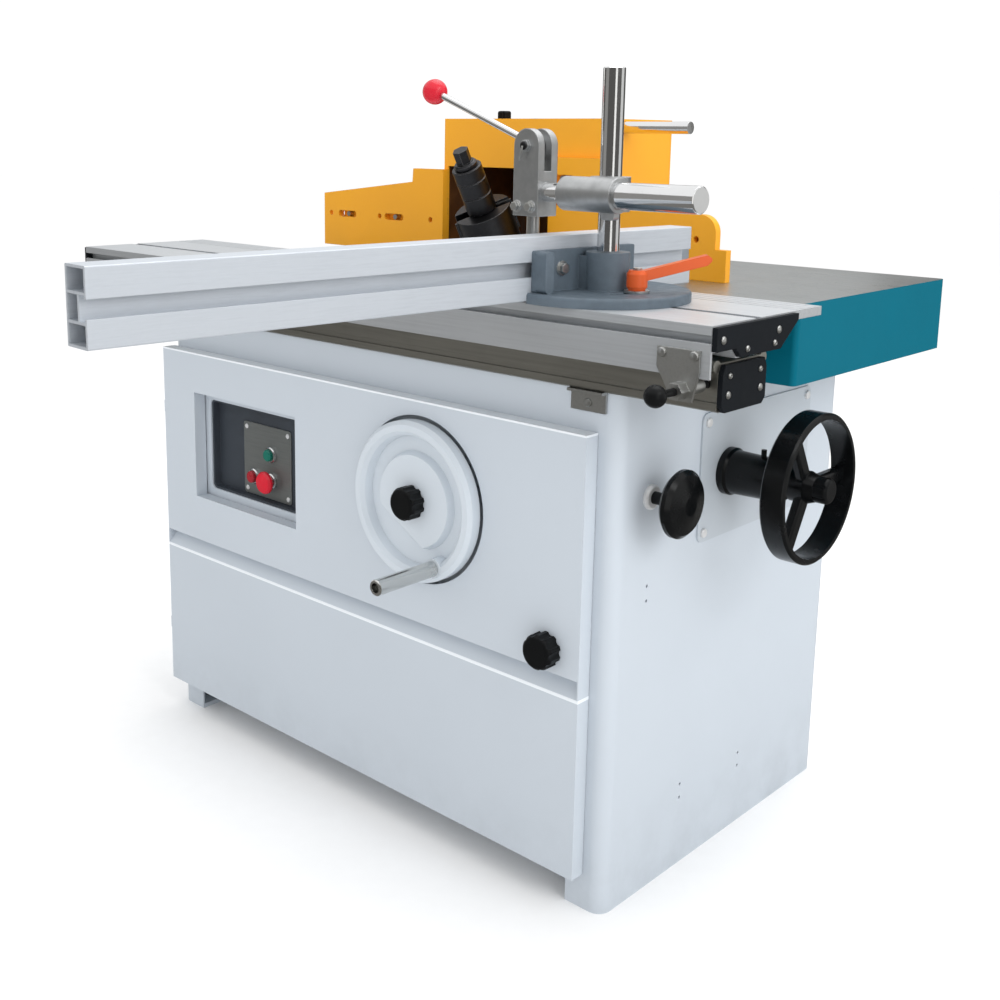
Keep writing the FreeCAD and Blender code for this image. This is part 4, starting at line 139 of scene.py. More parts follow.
# Cards that only reflections see: a ring of them, with turns in degrees from the camera's side
card_distance = 3.4
card_floor_reach = card_distance * 2
card_height = 2.6
card_lift = 0.002
card_step = 20.0
card_strength = 1.0
card_tones = {"dark": (0.105, 0.102, 0.098), "mid": (0.30, 0.295, 0.285), "floor": (0.20, 0.195, 0.185),
              "back": (0.46, 0.47, 0.47), "soft": (0.70, 0.70, 0.69), "bright": (1.1, 1.09, 1.06)}
card_turns = ((-150, -136, "dark"), (-136, -120, "bright"), (-120, -92, "dark"), (-92, -54, "mid"),
              (-54, 8, "dark"), (8, 24, "bright"), (24, 64, "dark"), (64, 100, "soft"),
              (100, 150, "dark"), (150, 210, "back"))

# Studio: the floor, the surround's strength, and the lights by name, place, target, size and power
floor_reach = 30.0
floor_rough = 0.9
floor_specular = 0.1
surround_strength = 1.05
lights = (("side_light", (4.2, -0.6, 2.6), (0.3, 0.0, 0.5), (2.4, 2.4), 60),
          ("top_light", (0.2, 0.8, 4.2), (0.1, 0.0, 0.8), (3.0, 3.0), 60))

# Grains of noise: waves per metre, octaves, roughness of the octaves
sheet_cloud = (2.4, 5.0, 0.55)
sheet_grime = (14.0, 6.0, 0.65)
sheet_scuff = (34.0, 6.0, 0.7)
paint_cloud = (3.2, 5.0, 0.55)
paint_flakes = (46.0, 5.0, 0.55)
paint_peel = (420.0, 2.0, 0.55)
paint_wipe = (8.0, 4.0, 0.55)
metal_lines = (260.0, 3.0, 0.6)
metal_patch = (7.0, 5.0, 0.6)
cast_grain = (330.0, 4.0, 0.65)
cast_pits = (60.0, 4.0, 0.55)
moulded_wipe = (28.0, 5.0, 0.6)
moulded_skin = (700.0, 2.0, 0.55)
cap_skin = (600.0, 2.0, 0.55)
tray_skin = (500.0, 2.0, 0.55)
chrome_smear = (18.0, 5.0, 0.6)
chrome_lines = (120.0, 2.0, 0.55)
table_lines = (420.0, 3.0, 0.6)
table_patch = (5.0, 6.0, 0.6)
table_cloud = (4.0, 4.0, 0.55)
table_wipe = (9.0, 4.0, 0.55)
table_grain = (300.0, 3.0, 0.55)
yellow_cloud = (6.0, 5.0, 0.55)
yellow_flakes = (55.0, 5.0, 0.55)
yellow_skin = (360.0, 2.0, 0.55)
hood_chips = (20.0, 6.0, 0.55)
plate_lines = (300.0, 3.0, 0.6)
floor_grain = (30.0, 4.0, 0.55)

# Factors that draw a grain out along X, Y and Z: streaks run along the small one
no_streaks = (1.0, 1.0, 1.0)
streaks_x = (0.02, 1.0, 1.0)
streaks_y = (1.0, 0.02, 1.0)
panel_streaks = (0.06, 1.0, 1.0)
turned_streaks = (1.0, 0.05, 1.0)
scuff_streaks = (1.0, 1.0, 9.0)
chrome_streaks = (1.0, 1.0, 14.0)
table_streaks = (0.05, 1.0, 1.0)
plate_streaks = (0.04, 1.0, 1.0)

# Draws: a value between the first two numbers runs from the third to the fourth
edge_draw = (0.995, 0.86, 0.0, 1.0)
low_draw = (0.16, 0.0, 0.0, 0.30)
grime_draw = (0.40, 0.75, 0.0, 1.0)
tarnish_draw = (0.4, 0.8, 0.0, 0.08)
pit_draw = (0.3, 0.7, 0.0, 0.6)
wipe_draw = (0.45, 0.8, 0.0, 0.30)
cap_gloss = (0.3, 0.75, 0.45, 0.62)
tray_gloss = (0.3, 0.75, 0.42, 0.60)
upward_draw = (0.55, 0.75, 0.0, 1.0)
table_line_draw = (0.35, 0.75, 0.0, 0.4)
table_stain_draw = (0.45, 0.8, 0.0, 0.4)
table_cloud_draw = (0.4, 0.8, 0.0, 0.35)
enamel_gloss = (0.3, 0.7, 0.30, 0.44)
ground_gloss = (0.3, 0.7, 0.26, 0.44)
yellow_draw = (0.35, 0.75, 0.0, 0.5)
yellow_flake_draw = (0.58, 0.62, 0.0, 1.0)
yellow_gloss = (0.3, 0.7, 0.30, 0.45)
chip_draw = (0.4, 0.7, 0.0, 1.0)
floor_draw = (0.3, 0.7, 0.0, 1.0)
flake_limits = (0.70, 0.74)     # both fall with the paint's wear

# Layers of a darker colour: the draw of the grain, and the share of the colour that is left
sheet_clouded = ((0.35, 0.75, 0.0, 0.35), 0.90)
sheet_scuffed = ((0.66, 0.80, 0.0, 0.14), 0.62)
paint_clouded = ((0.35, 0.75, 0.0, 0.3), 0.84)
metal_tarnished = ((0.35, 0.8, 0.0, 0.30), 0.76)
metal_streaked = ((0.45, 0.75, 0.0, 0.20), 0.62)
cast_pitted = ((0.35, 0.75, 0.0, 0.5), 0.68)
chrome_smeared = ((0.45, 0.85, 0.0, 0.25), 0.78)
plate_brushed = ((0.4, 0.75, 0.0, 0.25), 0.75)
grime_share = 0.55

# Strays: a draw whose last two numbers are steps from the finish's own roughness
paint_stray = (0.3, 0.7, -0.05, 0.09)
metal_stray = (0.3, 0.7, -0.06, 0.08)
cast_stray = (0.3, 0.7, -0.06, 0.10)
moulded_stray = (0.3, 0.75, -0.05, 0.14)
chrome_stray = (0.35, 0.8, 0.0, 0.12)

# Radii of rounded edges, and how much paler the edges are
edge_samples = 4
paint_round = 0.0016
metal_round = 0.0012
cast_round = 0.0022
moulded_round = 0.0012
tray_round = 0.0015
chrome_round = 0.0008
enamel_round = 0.0018
cast_light = 1.5
cast_edge_share = 0.45
moulded_light = 1.8
moulded_lift = 0.003
moulded_edge_share = 0.35
enamel_edge_share = 0.2

# Bumps: strengths, and heights in metres
peel_bump = 0.09
cap_bump = 0.16
tray_bump = 0.12
chrome_bump = 0.03
table_bump = 0.06
table_line_share = 0.4
hood_bump = 0.08
fence_bump = 0.07
coat_height = 0.0006
fine_height = 0.0003
chrome_line_height = 0.0002
table_height = 0.0005

# Shader values of single finishes
plain_specular = 0.5
paint_specular = 0.4
cast_specular = 0.35
moulded_specular = 0.45
cap_specular = 0.12
table_specular = 0.05
yellow_specular = 0.3
cap_rough = 0.5
tray_rough = 0.5
table_rough = 0.35
yellow_rough = 0.35
plate_rough = 0.42
plate_metal = 0.5
bolt_rough = 0.3
ring_rough = 0.24


# Small steps that build node materials

def node(tree, kind, inputs=None, **settings):
    made = tree.nodes.new(kind)
    for key, value in settings.items():
        setattr(made, key, value)
    for key, value in (inputs or {}).items():
        join(tree, value, made.inputs[key])
    return made


def join(tree, value, socket):
    """Link a socket's value, or set a plain one."""
    if isinstance(value, bpy.types.NodeSocket):
        tree.links.new(value, socket)
    else:
        socket.default_value = value


def start(name, metallic, roughness, specular=plain_specular):
    """A new material with its tree, its shader and the place on the object in metres."""
    material = bpy.data.materials.new(name)
    material.use_nodes = True
    tree = material.node_tree
    shader = tree.nodes["Principled BSDF"]
    shader.inputs["Metallic"].default_value = metallic
    shader.inputs["Roughness"].default_value = roughness
    shader.inputs["Specular IOR Level"].default_value = specular
    place = node(tree, "ShaderNodeTexCoord").outputs["Object"]
    return material, tree, shader, place


def darker(colour, share):
    return tuple(c * share for c in colour[:3]) + (1,)


def lighter(colour, factor, lift=0.0):
    return tuple(min(1, c * factor + lift) for c in colour[:3]) + (1,)


def axis_of(tree, vector, axis):
    return node(tree, "ShaderNodeSeparateXYZ", {"Vector": vector}).outputs[axis]


def face_normal(tree):
    return node(tree, "ShaderNodeNewGeometry").outputs["Normal"]


def stretched(tree, place, factors):
    return node(tree, "ShaderNodeMapping", {"Vector": place, "Scale": factors}).outputs["Vector"]


def noise(tree, place, grain):
    scale, octaves, rough = grain
    inputs = {"Vector": place, "Scale": scale, "Detail": octaves, "Roughness": rough}
    return node(tree, "ShaderNodeTexNoise", inputs).outputs["Fac"]


def spread(tree, value, draw):
    low, high, first, last = draw
    inputs = {"Value": value, "From Min": low, "From Max": high, "To Min": first, "To Max": last}
    return node(tree, "ShaderNodeMapRange", inputs).outputs["Result"]


def strayed(tree, value, stray, rough):
    """Roughness that strays with a value from the finish's own."""
    low, high, below, above = stray
    return spread(tree, value, (low, high, rough + below, rough + above))


def maths(tree, operation, first, second):
    made = node(tree, "ShaderNodeMath", {0: first, 1: second}, operation=operation, use_clamp=True)
    return made.outputs["Value"]


def vector_maths(tree, operation, first, second, output):
    made = node(tree, "ShaderNodeVectorMath", {0: first, 1: second}, operation=operation)
    return made.outputs[output]


def blend(tree, factor, first, second):
    """Two colours mixed by a factor."""
    return node(tree, "ShaderNodeMix", {0: factor, 6: first, 7: second}, data_type="RGBA").outputs[2]


def mix(tree, factor, first, second):
    """Two numbers mixed by a factor."""
    return node(tree, "ShaderNodeMix", {0: factor, 2: first, 3: second}, data_type="FLOAT").outputs[0]


def darkened(tree, value, layer, shade, colour):
    """A shade with a layer of the darker colour over it, as far as a value says."""
    draw, share = layer
    return blend(tree, spread(tree, value, draw), shade, darker(colour, share))


def between(tree, value, low, high):
    """A mask that is 1 between two values."""
    above = maths(tree, "GREATER_THAN", value, low)
    below = maths(tree, "LESS_THAN", value, high)
    return maths(tree, "MULTIPLY", above, below)


def inside(tree, place, low, high):
    """A mask that is 1 between two corners."""
    parts = node(tree, "ShaderNodeSeparateXYZ", {"Vector": place}).outputs
    mask = None
    for axis, first, last in zip("XYZ", low, high):
        here = between(tree, parts[axis], first, last)
        mask = here if mask is None else maths(tree, "MULTIPLY", mask, here)
    return mask


def facing_in(tree, place, low, high):
    """A mask that is 1 on faces that look to the middle of a box."""
    middle = (Vector(low) + Vector(high)) / 2
    apart = vector_maths(tree, "SUBTRACT", place, middle, "Vector")
    away = vector_maths(tree, "DOT_PRODUCT", apart, face_normal(tree), "Value")
    return maths(tree, "LESS_THAN", away, 0.0)


def spots(tree, place, centres, reach):
    """A mask that is 1 near any of some points."""
    mask = 0.0
    for centre in centres:
        apart = vector_maths(tree, "DISTANCE", place, centre, "Value")
        mask = maths(tree, "ADD", mask, maths(tree, "LESS_THAN", apart, reach))
    return mask


def rounded(tree, radius):
    """The normal of a face with its edges rounded."""
    return node(tree, "ShaderNodeBevel", {"Radius": radius}, samples=edge_samples).outputs["Normal"]


def on_edge(tree, normal):
    """A mask that is 1 where a rounded normal leaves the face's own."""
    near = vector_maths(tree, "DOT_PRODUCT", normal, face_normal(tree), "Value")
    return spread(tree, near, edge_draw)


def bumped(tree, height, strength, distance, normal=None):
    inputs = {"Height": height, "Strength": strength, "Distance": distance}
    if normal is not None:
        inputs["Normal"] = normal
    return node(tree, "ShaderNodeBump", inputs).outputs["Normal"]


def put(tree, shader, **sockets):
    names = {"colour": "Base Color", "rough": "Roughness", "normal": "Normal", "metal": "Metallic"}
    for key, value in sockets.items():
        tree.links.new(value, shader.inputs[names[key]])


# Finishes

def sheet_paint(name, colour, rough, lines=()):
    """Powder coat on sheet steel: faint clouds, orange peel, grime near the floor, and painted highlights
    as pale bands at the given heights.
    """
    material, tree, shader, place = start(name, 0.0, rough, paint_specular)
    shade = darkened(tree, noise(tree, place, sheet_cloud), sheet_clouded, colour, colour)
    height = axis_of(tree, place, "Z")
    dirt = spread(tree, noise(tree, place, sheet_grime), grime_draw)
    grime = maths(tree, "MULTIPLY", spread(tree, height, low_draw), dirt)
    shade = blend(tree, grime, shade, darker(colour, grime_share))
    scuff = noise(tree, stretched(tree, place, scuff_streaks), sheet_scuff)
    shade = darkened(tree, scuff, sheet_scuffed, shade, colour)
    # Painted highlight: pale bands at the given heights stand in for light catching the door's top edge and
    # groove lip
    for first, last in lines:
        shade = blend(tree, between(tree, height, first, last), shade, PAINTED_HIGHLIGHT)
    peel = noise(tree, place, paint_peel)
    gloss = strayed(tree, noise(tree, place, paint_wipe), paint_stray, rough)
    put(tree, shader, colour=shade, rough=gloss, normal=bumped(tree, peel, peel_bump, coat_height))
    return material


def paint(name, colour, rough, peel, wear, under):
    """Sprayed paint on a casting: slight shade changes, orange peel and thin worn edges."""
    material, tree, shader, place = start(name, 0.0, rough, paint_specular)
    normal = rounded(tree, paint_round)
    shade = darkened(tree, noise(tree, place, paint_cloud), paint_clouded, colour, colour)
    low, high = flake_limits
    flakes = spread(tree, noise(tree, place, paint_flakes), (low - wear, high - wear, 0.0, 1.0))
    shade = blend(tree, maths(tree, "MULTIPLY", on_edge(tree, normal), flakes), shade, under)
    fine = noise(tree, place, paint_peel)
    gloss = strayed(tree, noise(tree, place, paint_wipe), paint_stray, rough)
    put(tree, shader, colour=shade, rough=gloss, normal=bumped(tree, fine, peel, coat_height, normal))
    return material


def metal(name, colour, rough, streaks, depth, wear=0.0, metallic=1.0):
    """Worked metal: streaks along the small factor, tarnish in patches and fine scratches."""
    material, tree, shader, place = start(name, metallic, rough)
    normal = rounded(tree, metal_round)
    lines = noise(tree, stretched(tree, place, streaks), metal_lines)
    patch = noise(tree, place, metal_patch)
    shade = darkened(tree, patch, metal_tarnished, colour, colour)
    shade = darkened(tree, lines, metal_streaked, shade, colour)
    if wear:
        shade = blend(tree, maths(tree, "MULTIPLY", on_edge(tree, normal), wear), shade, BRIGHT)
    gloss = maths(tree, "ADD", strayed(tree, lines, metal_stray, rough),
                  spread(tree, patch, tarnish_draw))
    put(tree, shader, colour=shade, rough=gloss, normal=bumped(tree, lines, depth, fine_height, normal))
    return material


def casting(name, colour, rough, metallic, depth, bolts=(), reach=0.0):
    """A sand-cast or blasted skin: grains, shallow pits, lighter edges and zinc on its own bolts."""
    material, tree, shader, place = start(name, metallic, rough, cast_specular)
    normal = rounded(tree, cast_round)
    grain = noise(tree, place, cast_grain)
    pits = noise(tree, place, cast_pits)
    shade = darkened(tree, pits, cast_pitted, colour, colour)
    worn = maths(tree, "MULTIPLY", on_edge(tree, normal), cast_edge_share)
    shade = blend(tree, worn, shade, lighter(colour, cast_light))
    height = maths(tree, "ADD", grain, spread(tree, pits, pit_draw))
    gloss = strayed(tree, pits, cast_stray, rough)
    if bolts:
        heads = spots(tree, place, bolts, reach)
        shade = blend(tree, heads, shade, ZINC)
        gloss = mix(tree, heads, gloss, bolt_rough)
        put(tree, shader, metal=mix(tree, heads, metallic, 1.0))
    put(tree, shader, colour=shade, rough=gloss, normal=bumped(tree, height, depth, coat_height, normal))
    return material


def moulding_shade(tree, place, colour, normal):
    """Plastic's handled patches, and its colour with them and with pale edges."""
    wipe = noise(tree, place, moulded_wipe)
    light = lighter(colour, moulded_light, moulded_lift)
    shade = blend(tree, spread(tree, wipe, wipe_draw), colour, light)
    worn = maths(tree, "MULTIPLY", on_edge(tree, normal), moulded_edge_share)
    return wipe, blend(tree, worn, shade, light)


def moulding(name, colour, rough, grain=0.10, specular=moulded_specular):
    """Moulded plastic: a fine skin, dull handled patches and slightly pale edges."""
    material, tree, shader, place = start(name, 0.0, rough, specular)
    normal = rounded(tree, moulded_round)
    wipe, shade = moulding_shade(tree, place, colour, normal)
    skin = noise(tree, place, moulded_skin)
    put(tree, shader, colour=shade, rough=strayed(tree, wipe, moulded_stray, rough),
        normal=bumped(tree, skin, grain, fine_height, normal))
    return material


def capped(name, colour, low, high):
    """Nylon end caps, with the zinc heads of their own screws picked out where they stand proud."""
    material, tree, shader, place = start(name, 0.0, cap_rough, cap_specular)
    normal = rounded(tree, moulded_round)
    wipe, shade = moulding_shade(tree, place, colour, normal)
    along = axis_of(tree, place, "X")
    heads = maths(tree, "ADD", maths(tree, "LESS_THAN", along, low),
                  maths(tree, "GREATER_THAN", along, high))
    skin = noise(tree, place, cap_skin)
    rough = mix(tree, heads, spread(tree, wipe, cap_gloss), bolt_rough)
    put(tree, shader, colour=blend(tree, heads, shade, ZINC), rough=rough, metal=heads,
        normal=bumped(tree, skin, cap_bump, fine_height, normal))
    return material


def tray_plastic(name, colour, low, high):
    """The tray behind the window, with the bright turned rings round its buttons."""
    material, tree, shader, place = start(name, 0.0, tray_rough)
    normal = rounded(tree, tray_round)
    wipe, shade = moulding_shade(tree, place, colour, normal)
    rings = inside(tree, place, low, high)
    skin = noise(tree, place, tray_skin)
    rough = mix(tree, rings, spread(tree, wipe, tray_gloss), ring_rough)
    put(tree, shader, colour=blend(tree, rings, shade, BRIGHT), rough=rough, metal=rings,
        normal=bumped(tree, skin, tray_bump, fine_height, normal))
    return material


def plated(name, colour, rough):
    """Chromed or polished bar: mirror finish with faint turning lines and smears."""
    material, tree, shader, place = start(name, 1.0, rough)
    normal = rounded(tree, chrome_round)
    smear = noise(tree, place, chrome_smear)
    lines = noise(tree, stretched(tree, place, chrome_streaks), chrome_lines)
    shade = darkened(tree, smear, chrome_smeared, colour, colour)
    put(tree, shader, colour=shade, rough=strayed(tree, smear, chrome_stray, rough),
        normal=bumped(tree, lines, chrome_bump, chrome_line_height, normal))
    return material


def ground_table(name, top):
    """Cast table: ground steel on the working face, enamel on the sides and below."""
    material, tree, shader, place = start(name, 0.0, table_rough, table_specular)
    normal = rounded(tree, enamel_round)
    upward = axis_of(tree, face_normal(tree), "Z")
    high = maths(tree, "GREATER_THAN", axis_of(tree, place, "Z"), top - table_skin)
    face = maths(tree, "MULTIPLY", spread(tree, upward, upward_draw), high)
    lines = noise(tree, stretched(tree, place, table_streaks), table_lines)
    patch = noise(tree, place, table_patch)
    steel = blend(tree, spread(tree, lines, table_line_draw), GROUND, GROUND_DARK)
    steel = blend(tree, spread(tree, patch, table_stain_draw), steel, GROUND_STAIN)
    cloud = spread(tree, noise(tree, place, table_cloud), table_cloud_draw)
    worn = maths(tree, "MULTIPLY", on_edge(tree, normal), enamel_edge_share)
    enamel = blend(tree, worn, blend(tree, cloud, TEAL, DEEP_TEAL), PALE_TEAL)
    rough = mix(tree, face, spread(tree, noise(tree, place, table_wipe), enamel_gloss),
                spread(tree, lines, ground_gloss))
    scratches = maths(tree, "MULTIPLY", lines, table_line_share)
    skin = maths(tree, "ADD", scratches, noise(tree, place, table_grain))
    put(tree, shader, colour=blend(tree, face, enamel, steel), metal=face, rough=rough,
        normal=bumped(tree, skin, table_bump, table_height, normal))
    return material


def yellow_shade(tree, place, normal):
    """Yellow enamel's clouds, and its colour with them and with flaked edges."""
    cloud = noise(tree, place, yellow_cloud)
    shade = blend(tree, spread(tree, cloud, yellow_draw), YELLOW, DEEP_YELLOW)
    flakes = spread(tree, noise(tree, place, yellow_flakes), yellow_flake_draw)
    return cloud, blend(tree, maths(tree, "MULTIPLY", on_edge(tree, normal), flakes), shade, OCHRE)


def hood_paint(name, low, high):
    """Yellow enamel outside, with the chip-stained dark inside picked out by its place."""
    material, tree, shader, place = start(name, 0.0, yellow_rough, yellow_specular)
    normal = rounded(tree, enamel_round)
    cloud, shade = yellow_shade(tree, place, normal)
    stain = blend(tree, spread(tree, noise(tree, place, hood_chips), chip_draw), BROWN, CHIPS)
    within = maths(tree, "MULTIPLY", inside(tree, place, low, high), facing_in(tree, place, low, high))
    skin = noise(tree, place, yellow_skin)
    put(tree, shader, colour=blend(tree, within, shade, stain), rough=spread(tree, cloud, yellow_gloss),
        normal=bumped(tree, skin, hood_bump, coat_height, normal))
    return material


def fence_paint(name, low, high):
    """Yellow enamel, with a brushed aluminium face plate picked out by its place."""
    material, tree, shader, place = start(name, 0.0, yellow_rough, yellow_specular)
    normal = rounded(tree, enamel_round)
    cloud, shade = yellow_shade(tree, place, normal)
    plate = inside(tree, place, low, high)
    lines = noise(tree, stretched(tree, place, plate_streaks), plate_lines)
    bare = darkened(tree, lines, plate_brushed, FACE_PLATE, FACE_PLATE)
    rough = mix(tree, plate, spread(tree, cloud, yellow_gloss), plate_rough)
    skin = noise(tree, place, yellow_skin)
    put(tree, shader, colour=blend(tree, plate, shade, bare), rough=rough,
        metal=maths(tree, "MULTIPLY", plate, plate_metal),
        normal=bumped(tree, skin, fence_bump, coat_height, normal))
    return material


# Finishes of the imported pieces

table_high = Vector(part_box("machine_table")[1])
panel_low, panel_high = (Vector(corner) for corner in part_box("control_plate"))
rings_low = (panel_low.x, ring_front, panel_low.z)
rings_high = (panel_high.x, panel_low.y + ring_margin, panel_high.z)

slide_caps_low, slide_caps_high = (Vector(corner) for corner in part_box("slide_caps"))
beam_caps_low, beam_caps_high = (Vector(corner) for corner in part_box("beam_caps"))
proud = cap_screw_height - cap_screw_margin

white = sheet_paint("white powder coat", WHITE, rough=0.38)
# The door's finish carries painted highlights on its top edge and groove lip
door_white = sheet_paint("door powder coat", WHITE, rough=0.38, lines=door_highlight_heights)
# The side plate's darker colour is partly painted shade
plate_paint_and_shade = sheet_paint("plate powder coat with painted shade", PLATE_GREY_AND_SHADE, rough=0.42)
wheel_white = paint("wheel enamel", WHEEL_WHITE, rough=0.34, peel=0.06, wear=0.03, under=STEEL)
black = moulding("black phenolic", BLACK, rough=0.30, specular=0.15)
gloss_black = moulding("black lacquer", LACQUER, rough=0.20, grain=0.05, specular=0.22)
dull_black = moulding("black nylon", CAP_BLACK, rough=0.50, grain=0.18, specular=0.12)
slide_cap = capped("slide cap nylon", CAP_BLACK, slide_caps_low.x + proud, slide_caps_high.x - proud)
beam_cap = capped("beam cap nylon", CAP_BLACK, beam_caps_low.x + proud, beam_caps_high.x - proud)
tray = tray_plastic("recess plastic", RECESS, rings_low, rings_high)
zinc = metal("zinc plate", ZINC, rough=0.34, streaks=no_streaks, depth=0.05)
pale_zinc = metal("bright zinc", BRIGHT, rough=0.34, streaks=no_streaks, depth=0.05, metallic=0.3)
panel = metal("control plate steel", PANEL, rough=0.40, streaks=panel_streaks, depth=0.05, metallic=0.7)
alu_table = metal("anodised table", ALUMINIUM, rough=0.42, streaks=streaks_x, depth=0.06, metallic=0.75)
alu_fence = metal("anodised fence", FENCE_ALUMINIUM, rough=0.46, streaks=streaks_y, depth=0.05,
                  metallic=0.45)
beam_metal = metal("beam steel", BEAM_METAL, rough=0.40, streaks=streaks_x, depth=0.06)
steel = metal("turned steel", STEEL, rough=0.30, streaks=turned_streaks, depth=0.06)
handle = plated("polished handle", HANDLE, rough=0.20)
chrome = plated("hard chrome", BRIGHT, rough=0.06)
cast = casting("cast aluminium", CAST, rough=0.40, metallic=0.95, depth=0.20,
               bolts=head_bolts, reach=head_bolt_reach)
slate = casting("slate enamel casting", SLATE, rough=0.44, metallic=0.0, depth=0.25,
                bolts=base_screws, reach=base_screw_reach)
iron = casting("painted iron casting", IRON, rough=0.5, metallic=0.0, depth=0.3)
motor_grey = casting("motor enamel", GREY, rough=0.42, metallic=0.0, depth=0.12)
soot = metal("blackened steel", BLACKENED, rough=0.36, streaks=no_streaks, depth=0.10, wear=0.25)
orange = paint("orange enamel", ORANGE, rough=0.32, peel=0.05, wear=0.02, under=STEEL)
red = moulding("red plastic", RED, rough=0.20, grain=0.03)
deep_red = moulding("dark red plastic", DEEP_RED, rough=0.24, grain=0.03)
green = moulding("green plastic", GREEN, rough=0.24, grain=0.03)
rubber = moulding("belt rubber", RUBBER, rough=0.6, grain=0.3)
hood_yellow = hood_paint("hood enamel", hood_inner_low, hood_inner_high)
fence_yellow = fence_paint("fence enamel", face_plate_low, face_plate_high)
table = ground_table("cast table", table_high.z)

looks = {
    white: ["cabinet_body", "door_hinges"],
    door_white: ["front_door"],
    plate_paint_and_shade: ["side_plate"],
    wheel_white: ["height_wheel"],
    black: ["door_latch_knob", "height_lock_knob", "tilt_lock_knob", "hood_knob", "index_plunger"],
    gloss_black: ["tilt_wheel", "tilt_clamp_knob", "tilt_sleeve"],
    dull_black: ["slide_shoes"],
    slide_cap: ["slide_caps"],
    beam_cap: ["beam_caps"],
    tray: ["control_recess"],
    pale_zinc: ["panel_screws"],
    zinc: ["beam_brackets", "plunger_bracket", "lever_stud", "fence_bolts"],
    panel: ["control_plate"],
    alu_table: ["sliding_table"],
    beam_metal: ["guide_beam"],
    alu_fence: ["crosscut_fence"],
    steel: ["table_ring", "clamp_plunger", "lift_screw", "spindle_pulley", "motor_pulley",
            "spindle_shaft"],
    handle: ["crank_handle"],
    chrome: ["pillar", "clamp_bar", "clamp_lever", "guard_rod"],
    cast: ["cross_block", "clamp_head"],
    slate: ["fence_base"],
    iron: ["lift_gearbox", "tilt_gearbox", "trunnion_brackets", "tilt_frame", "carriage",
           "quill_housing"],
    motor_grey: ["motor"],
    soot: ["spindle_collars", "cutter_block", "spindle_bolt"],
    orange: ["orange_lever"],
    red: ["emergency_stop", "lever_ball"],
    deep_red: ["stop_button"],
    green: ["start_button"],
    rubber: ["belt"],
    hood_yellow: ["hood"],
    fence_yellow: ["left_fence", "right_fence"],
    table: ["machine_table"],
}
for material, names in looks.items():
    for name in names:
        nodes[name].data.materials.clear()
        nodes[name].data.materials.append(material)


# Small fasteners that the solids leave out

def turn_outline(made, outline, size, place, axis, flats=()):
    """A lathe form on a seat: rings of points along the axis, six-sided where the outline says so."""
    radius, height = size
    upright = Vector(axis).to_track_quat("Z", "Y")
    rings = []
    for number, (share, rise) in enumerate(outline):
        ring = []
        for step in range(turning_steps if share else 1):
            angle = 2 * math.pi * step / turning_steps
            reach = share * radius
            if number in flats:
                reach *= math.cos(half_flat) / math.cos(angle % (2 * half_flat) - half_flat)
            point = Vector((reach * math.cos(angle), reach * math.sin(angle), rise * height))
            ring.append(made.verts.new(Vector(place) + upright @ point))
        rings.append(ring)
    for first, second in zip(rings, rings[1:]):
        for step in range(turning_steps):
            after = (step + 1) % turning_steps
            corners = [first[step % len(first)], first[after % len(first)],
                       second[after % len(second)], second[step % len(second)]]
            made.faces.new(list(dict.fromkeys(corners)))
    if len(rings[-1]) > 1:
        made.faces.new(rings[-1])


def fastener_piece(name, forms, material, body):
    """Several turned forms as one piece that rides on a body."""
    made = bmesh.new()
    for form in forms:
        turn_outline(made, *form)
    bmesh.ops.recalc_face_normals(made, faces=made.faces)
    mesh = bpy.data.meshes.new(name)
    made.to_mesh(mesh)
    made.free()
    mesh.materials.append(material)
    mesh.set_sharp_from_angle(angle=sharp_angle)
    piece = bpy.data.objects.new(name, mesh)
    bpy.context.scene.collection.objects.link(piece)
    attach(piece, body)


def cap_screws(name, low, high, places, body):
    """The socket screws on the end caps at both ends."""
    forms = []
    for x, way in ((low.x + cap_screw_height, (-1, 0, 0)), (high.x - cap_screw_height, (1, 0, 0))):
        for back, rise in places:
            seat = (x, low.y + back, low.z + rise)
            forms.append((screw_outline, screw_head, seat, way, screw_socket_rings))
    fastener_piece(name, forms, zinc, body)


def clamp_pin():
    """The lever's pivot pin on the clamp's head, with the split pin that keeps it."""
    pivot = next(joint for joint in frame["joints"] if joint["name"] == "clamp_lever_turn")
    way = -Vector(pivot["axis"]).normalized()
    seat = Vector(pivot["pos_m"]) + way * pin_seat
    hang = (way.cross(straight_up) * split_pin_lean - straight_up).normalized()
    tail = seat + way * pin_head[1] * split_pin_rise
    pin = (pin_outline, pin_head, seat, way)
    keeper = (split_pin_outline, split_pin, tail, hang)
    fastener_piece("clamp_pin", [pin], soot, "clamp_bar")
    fastener_piece("clamp_split_pin", [keeper], zinc, "clamp_bar")


cap_screws("slide_cap_screws", slide_caps_low, slide_caps_high, slide_screw_places, "slide")
cap_screws("beam_cap_screws", beam_caps_low, beam_caps_high, beam_screw_places, "stand")
clamp_pin()


# Studio: pale floor, soft light, cards that only reflections see, and the camera

def plane(name, corners, material):
    mesh = bpy.data.meshes.new(name)
    mesh.from_pydata([Vector(c) for c in corners], [], [tuple(range(len(corners)))])
    mesh.materials.append(material)
    made = bpy.data.objects.new(name, mesh)
    bpy.context.scene.collection.objects.link(made)
    return made


def square(reach, height):
    """The corners of a level square about the origin."""
    return [(-reach, -reach, height), (reach, -reach, height),
            (reach, reach, height), (-reach, reach, height)]


def floor():
    material, tree, shader, place = start("studio floor", 0.0, floor_rough, floor_specular)
    grain = spread(tree, noise(tree, place, floor_grain), floor_draw)
    put(tree, shader, colour=blend(tree, grain, FLOOR, PALE_FLOOR))
    plane("studio_floor", square(floor_reach, 0), material)


def card_material(name, colour):
    material = bpy.data.materials.new(name)
    material.use_nodes = True
    tree = material.node_tree
    glow = node(tree, "ShaderNodeEmission", {"Color": colour, "Strength": card_strength})
    tree.links.new(glow.outputs["Emission"], tree.nodes["Material Output"].inputs["Surface"])
    return material


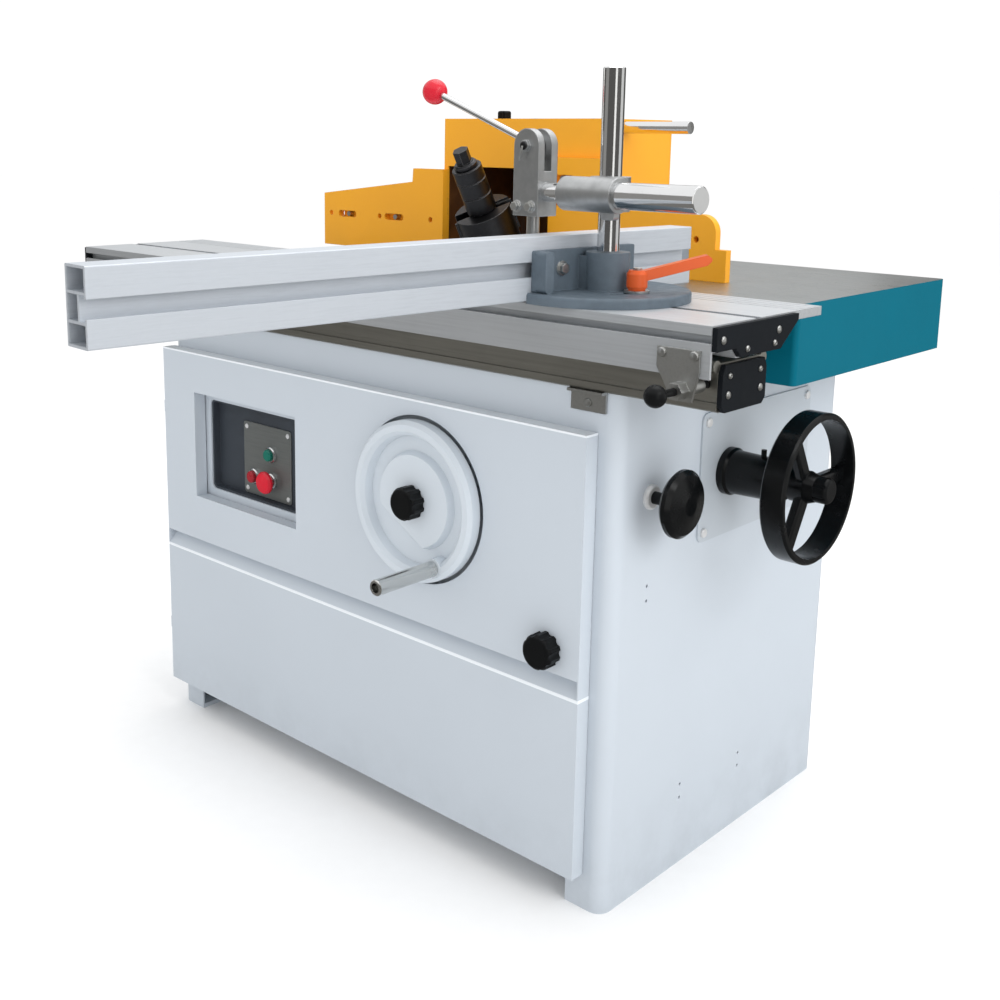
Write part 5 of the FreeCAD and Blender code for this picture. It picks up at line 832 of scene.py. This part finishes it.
def card(name, corners, material):
    """A card that shows in reflections alone: it lights nothing, shades nothing and isn't seen."""
    made = plane(name, corners, material)
    made.visible_camera = False
    made.visible_diffuse = False
    made.visible_shadow = False
    made.visible_transmission = False


def ring_place(turn):
    """A point on the ring of upright cards, at an angle from the camera's side."""
    angle = math.radians(camera_azimuth + turn)
    return card_distance * math.sin(angle), -card_distance * math.cos(angle)


def reflection_cards():
    """Upright cards of several tones in a ring, and one on the floor, for the chromed and brushed parts."""
    tones = {name: card_material(name + " card", shade + (1,)) for name, shade in card_tones.items()}
    card("card_floor", square(card_floor_reach, card_lift), tones["floor"])
    for index, (first, last, tone) in enumerate(card_turns):
        steps = max(1, round((last - first) / card_step))
        for step in range(steps):
            ax, ay = ring_place(first + (last - first) * step / steps)
            bx, by = ring_place(first + (last - first) * (step + 1) / steps)
            corners = [(ax, ay, card_lift), (bx, by, card_lift),
                       (bx, by, card_height), (ax, ay, card_height)]
            card("card_%d_%d" % (index, step), corners, tones[tone])


def surroundings():
    world = bpy.data.worlds.new("studio")
    world.use_nodes = True
    background = world.node_tree.nodes["Background"]
    background.inputs["Color"].default_value = SURROUND
    background.inputs["Strength"].default_value = surround_strength
    bpy.context.scene.world = world


def area_light(name, place, target, size, power):
    data = bpy.data.lights.new(name, "AREA")
    data.shape = "RECTANGLE"
    data.size, data.size_y = size
    data.energy = power
    light = bpy.data.objects.new(name, data)
    aim = (Vector(target) - Vector(place)).to_track_quat("-Z", "Y")
    light.matrix_world = Matrix.Translation(place) @ aim.to_matrix().to_4x4()
    bpy.context.scene.collection.objects.link(light)


def photo_camera():
    turn = math.radians(camera_azimuth)
    dip = math.radians(camera_down)
    back = Vector((math.sin(turn) * math.cos(dip), -math.cos(turn) * math.cos(dip), math.sin(dip)))
    right = (-back).cross(straight_up).normalized()
    up = right.cross(-back)
    roll = math.radians(camera_roll)
    rolled_right = math.cos(roll) * right + math.sin(roll) * up
    rolled_up = math.cos(roll) * up - math.sin(roll) * right
    data = bpy.data.cameras.new("photo_camera")
    data.sensor_width = sensor
    data.lens = sensor * focal_pixels / image_size
    data.shift_x = image_middle - principal_pixel[0] / image_size
    data.shift_y = principal_pixel[1] / image_size - image_middle
    camera = bpy.data.objects.new("photo_camera", data)
    camera_axes = Matrix((rolled_right, rolled_up, back)).transposed().to_4x4()
    camera.matrix_world = Matrix.Translation(camera_place) @ camera_axes
    bpy.context.scene.collection.objects.link(camera)
    bpy.context.scene.camera = camera


floor()
reflection_cards()
surroundings()
for light in lights:
    area_light(*light)
photo_camera()
bpy.context.scene.view_settings.view_transform = "Standard"
